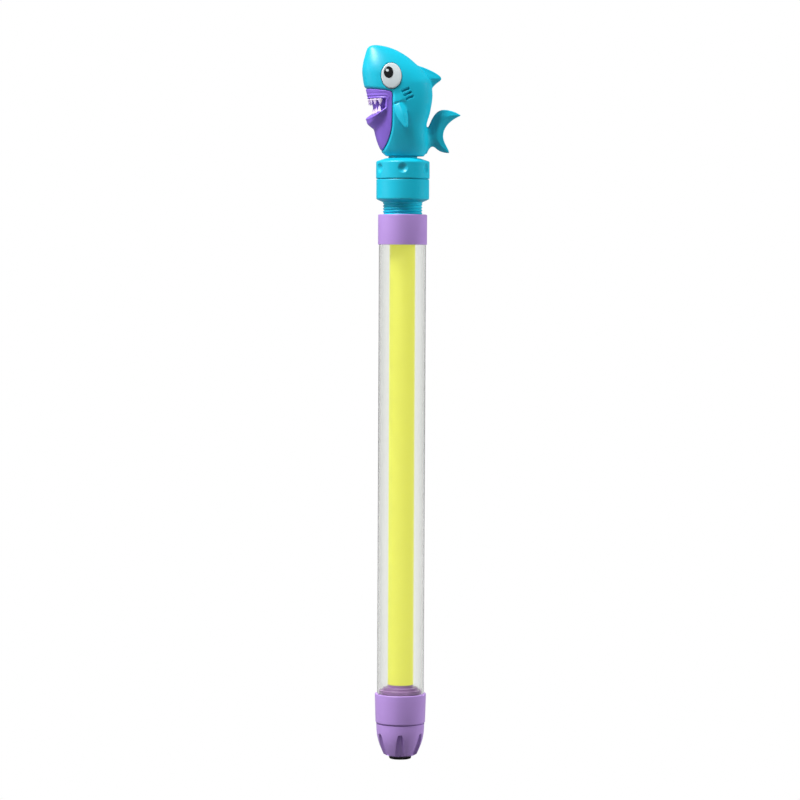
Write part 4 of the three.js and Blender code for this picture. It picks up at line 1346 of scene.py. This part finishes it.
class SQUIRTER_OT_eyes(SquirterOperator, bpy.types.Operator):
    """Builds the eye pads, the pupils set in them and the white glints"""

    bl_idname = "squirter.eyes"
    bl_label = "Eyes"

    def build(self, sizes, colours):
        proud = sizes.eye_proud / MM
        eye_size = (sizes.eye_wide / MM, sizes.eye_tall / MM)
        pupil_size = (sizes.pupil_wide / MM, sizes.pupil_tall / MM)
        glint_size = (2 * GLINT_R, 2 * GLINT_R)
        pupil_foot, pupil_top = proud - PUPIL_ROOT, proud + PUPIL_PROUD
        pad = partial(
            eye_layer, size=eye_size, shift=CENTRED, foot=-EYE_ROOT, top=proud, edge=EYE_EDGE,
            hole=(pupil_size, PUPIL_SHIFT, pupil_foot),
        )
        pupil = partial(
            eye_layer, size=pupil_size, shift=PUPIL_SHIFT, foot=pupil_foot, top=pupil_top,
            edge=PUPIL_EDGE, hole=(glint_size, GLINT_SHIFT, proud),
        )
        glint = partial(
            eye_layer, size=glint_size, shift=GLINT_SHIFT, foot=proud, top=pupil_top + GLINT_PROUD,
            edge=GLINT_EDGE,
        )
        white = plastic("white eye", colours.white, gloss=0.25, drift=0.1)
        black = plastic("black pupil", colours.pupil, gloss=0.15)
        parts = (
            ("eye_pad", pad, white, "white_eye", "eye"),
            ("pupil_inlay", pupil, black, "black_pupil", "pupil"),
            ("glint_dot", glint, white, "white_eye", None),
        )
        for name, field, material, slot, node in parts:
            left = lifted(grow(field, *EYE_BOX, sizes.face_step / MM))
            for side, shape in (("left", left), ("right", mirrored(left))):
                stands_for = f"{node}_{side}" if node else None
                place(f"{side}_{name}", shape, material, "shark", slot, stands_for)


class SQUIRTER_OT_stage(SquirterOperator, bpy.types.Operator):
    """Builds the pale floor, the soft lights and the camera"""

    bl_idname = "squirter.stage"
    bl_label = "Stage"

    def build(self, sizes, colours):
        self.build_floor()
        self.build_lights()
        self.build_room()
        self.build_camera()

    def build_floor(self):
        reach = FLOOR_REACH
        mesh = bpy.data.meshes.new("floor")
        corners = [(-reach, -reach, 0), (reach, -reach, 0), (reach, reach, 0), (-reach, reach, 0)]
        mesh.from_pydata(corners, [], [(0, 1, 2, 3)])
        floor = bpy.data.objects.new("floor", mesh)
        bpy.context.scene.collection.objects.link(floor)
        material, tree, shader = start_material("pale floor")
        tone = (FLOOR_TONE, FLOOR_TONE, FLOOR_TONE, 1)
        connect(tree, shader, Base_Color=tone, Roughness=FLOOR_ROUGHNESS, Specular_IOR_Level=0)
        glow = tree.nodes.new("ShaderNodeEmission").outputs["Emission"]
        show_mix(tree, "Material Output", seen_share(tree), shader.outputs["BSDF"], glow)
        mesh.materials.append(material)

    def build_lights(self):
        for name, (spot, size, power, shines) in LIGHTS.items():
            light = bpy.data.lights.new(name, "AREA")
            light.size = size
            light.energy = power
            lamp = bpy.data.objects.new(name, light)
            lamp.location = spot
            lamp.visible_glossy = shines
            lamp.visible_transmission = False
            aim = Vector((0, 0, LIGHT_AIM)) - lamp.location
            lamp.rotation_euler = aim.to_track_quat("-Z", "Y").to_euler()
            bpy.context.scene.collection.objects.link(lamp)

    def build_room(self):
        world = bpy.data.worlds.new("white room")
        world.use_nodes = True
        bpy.context.scene.world = world
        tree = world.node_tree
        seen = connect(tree, tree.nodes["Background"], Color=WHITE).outputs[0]
        around = tree.nodes.new("ShaderNodeBackground")
        lit = connect(tree, around, Color=WHITE, Strength=ROOM_LIGHT).outputs[0]
        show_mix(tree, "World Output", seen_share(tree), lit, seen)

    def build_camera(self):
        scene = bpy.context.scene
        azimuth = math.radians(VIEW_AZIMUTH)
        across = Vector((math.cos(azimuth), math.sin(azimuth), 0))
        back = Vector((math.sin(azimuth), -math.cos(azimuth), 0))
        lens = bpy.data.cameras.new("camera")
        lens.sensor_width = SENSOR_WIDTH
        lens.lens = lens.sensor_width * VIEW_DISTANCE / VIEW_WIDTH
        camera = bpy.data.objects.new("camera", lens)
        camera.location = back * VIEW_DISTANCE + across * VIEW_SHIFT + Vector((0, 0, VIEW_HEIGHT))
        aim = across * VIEW_SHIFT + Vector((0, 0, VIEW_CENTRE)) - camera.location
        roll = Euler((0, 0, math.radians(VIEW_ROLL))).to_quaternion()
        camera.rotation_euler = (aim.to_track_quat("-Z", "Y") @ roll).to_euler()
        scene.collection.objects.link(camera)
        scene.camera = camera
        scene.view_settings.view_transform = "Standard"


OPERATORS = (
    SQUIRTER_OT_barrel, SQUIRTER_OT_collar, SQUIRTER_OT_guide_cap, SQUIRTER_OT_sleeve,
    SQUIRTER_OT_nozzle, SQUIRTER_OT_plunger, SQUIRTER_OT_knob, SQUIRTER_OT_shark,
    SQUIRTER_OT_muzzle, SQUIRTER_OT_eyes, SQUIRTER_OT_stage,
)


class VIEW3D_PT_squirter(bpy.types.Panel):
    """The sidebar panel that lists the steps of the build"""

    bl_label = "Squirter"
    bl_idname = "VIEW3D_PT_squirter"
    bl_space_type = "VIEW_3D"
    bl_region_type = "UI"
    bl_category = "Squirter"

    def draw(self, context):
        for operator in OPERATORS:
            self.layout.operator(operator.bl_idname)


CLASSES = (SquirterSizes, SquirterColours, *OPERATORS, VIEW3D_PT_squirter)


def register():
    for cls in CLASSES:
        bpy.utils.register_class(cls)
    bpy.types.Scene.squirter_sizes = bpy.props.PointerProperty(type=SquirterSizes)
    bpy.types.Scene.squirter_colours = bpy.props.PointerProperty(type=SquirterColours)


def unregister():
    del bpy.types.Scene.squirter_colours
    del bpy.types.Scene.squirter_sizes
    for cls in reversed(CLASSES):
        bpy.utils.unregister_class(cls)


def main():
    register()
    for operator in OPERATORS:
        family, step = operator.bl_idname.split(".")
        getattr(getattr(bpy.ops, family), step)()


if __name__ == "__main__":
    main()
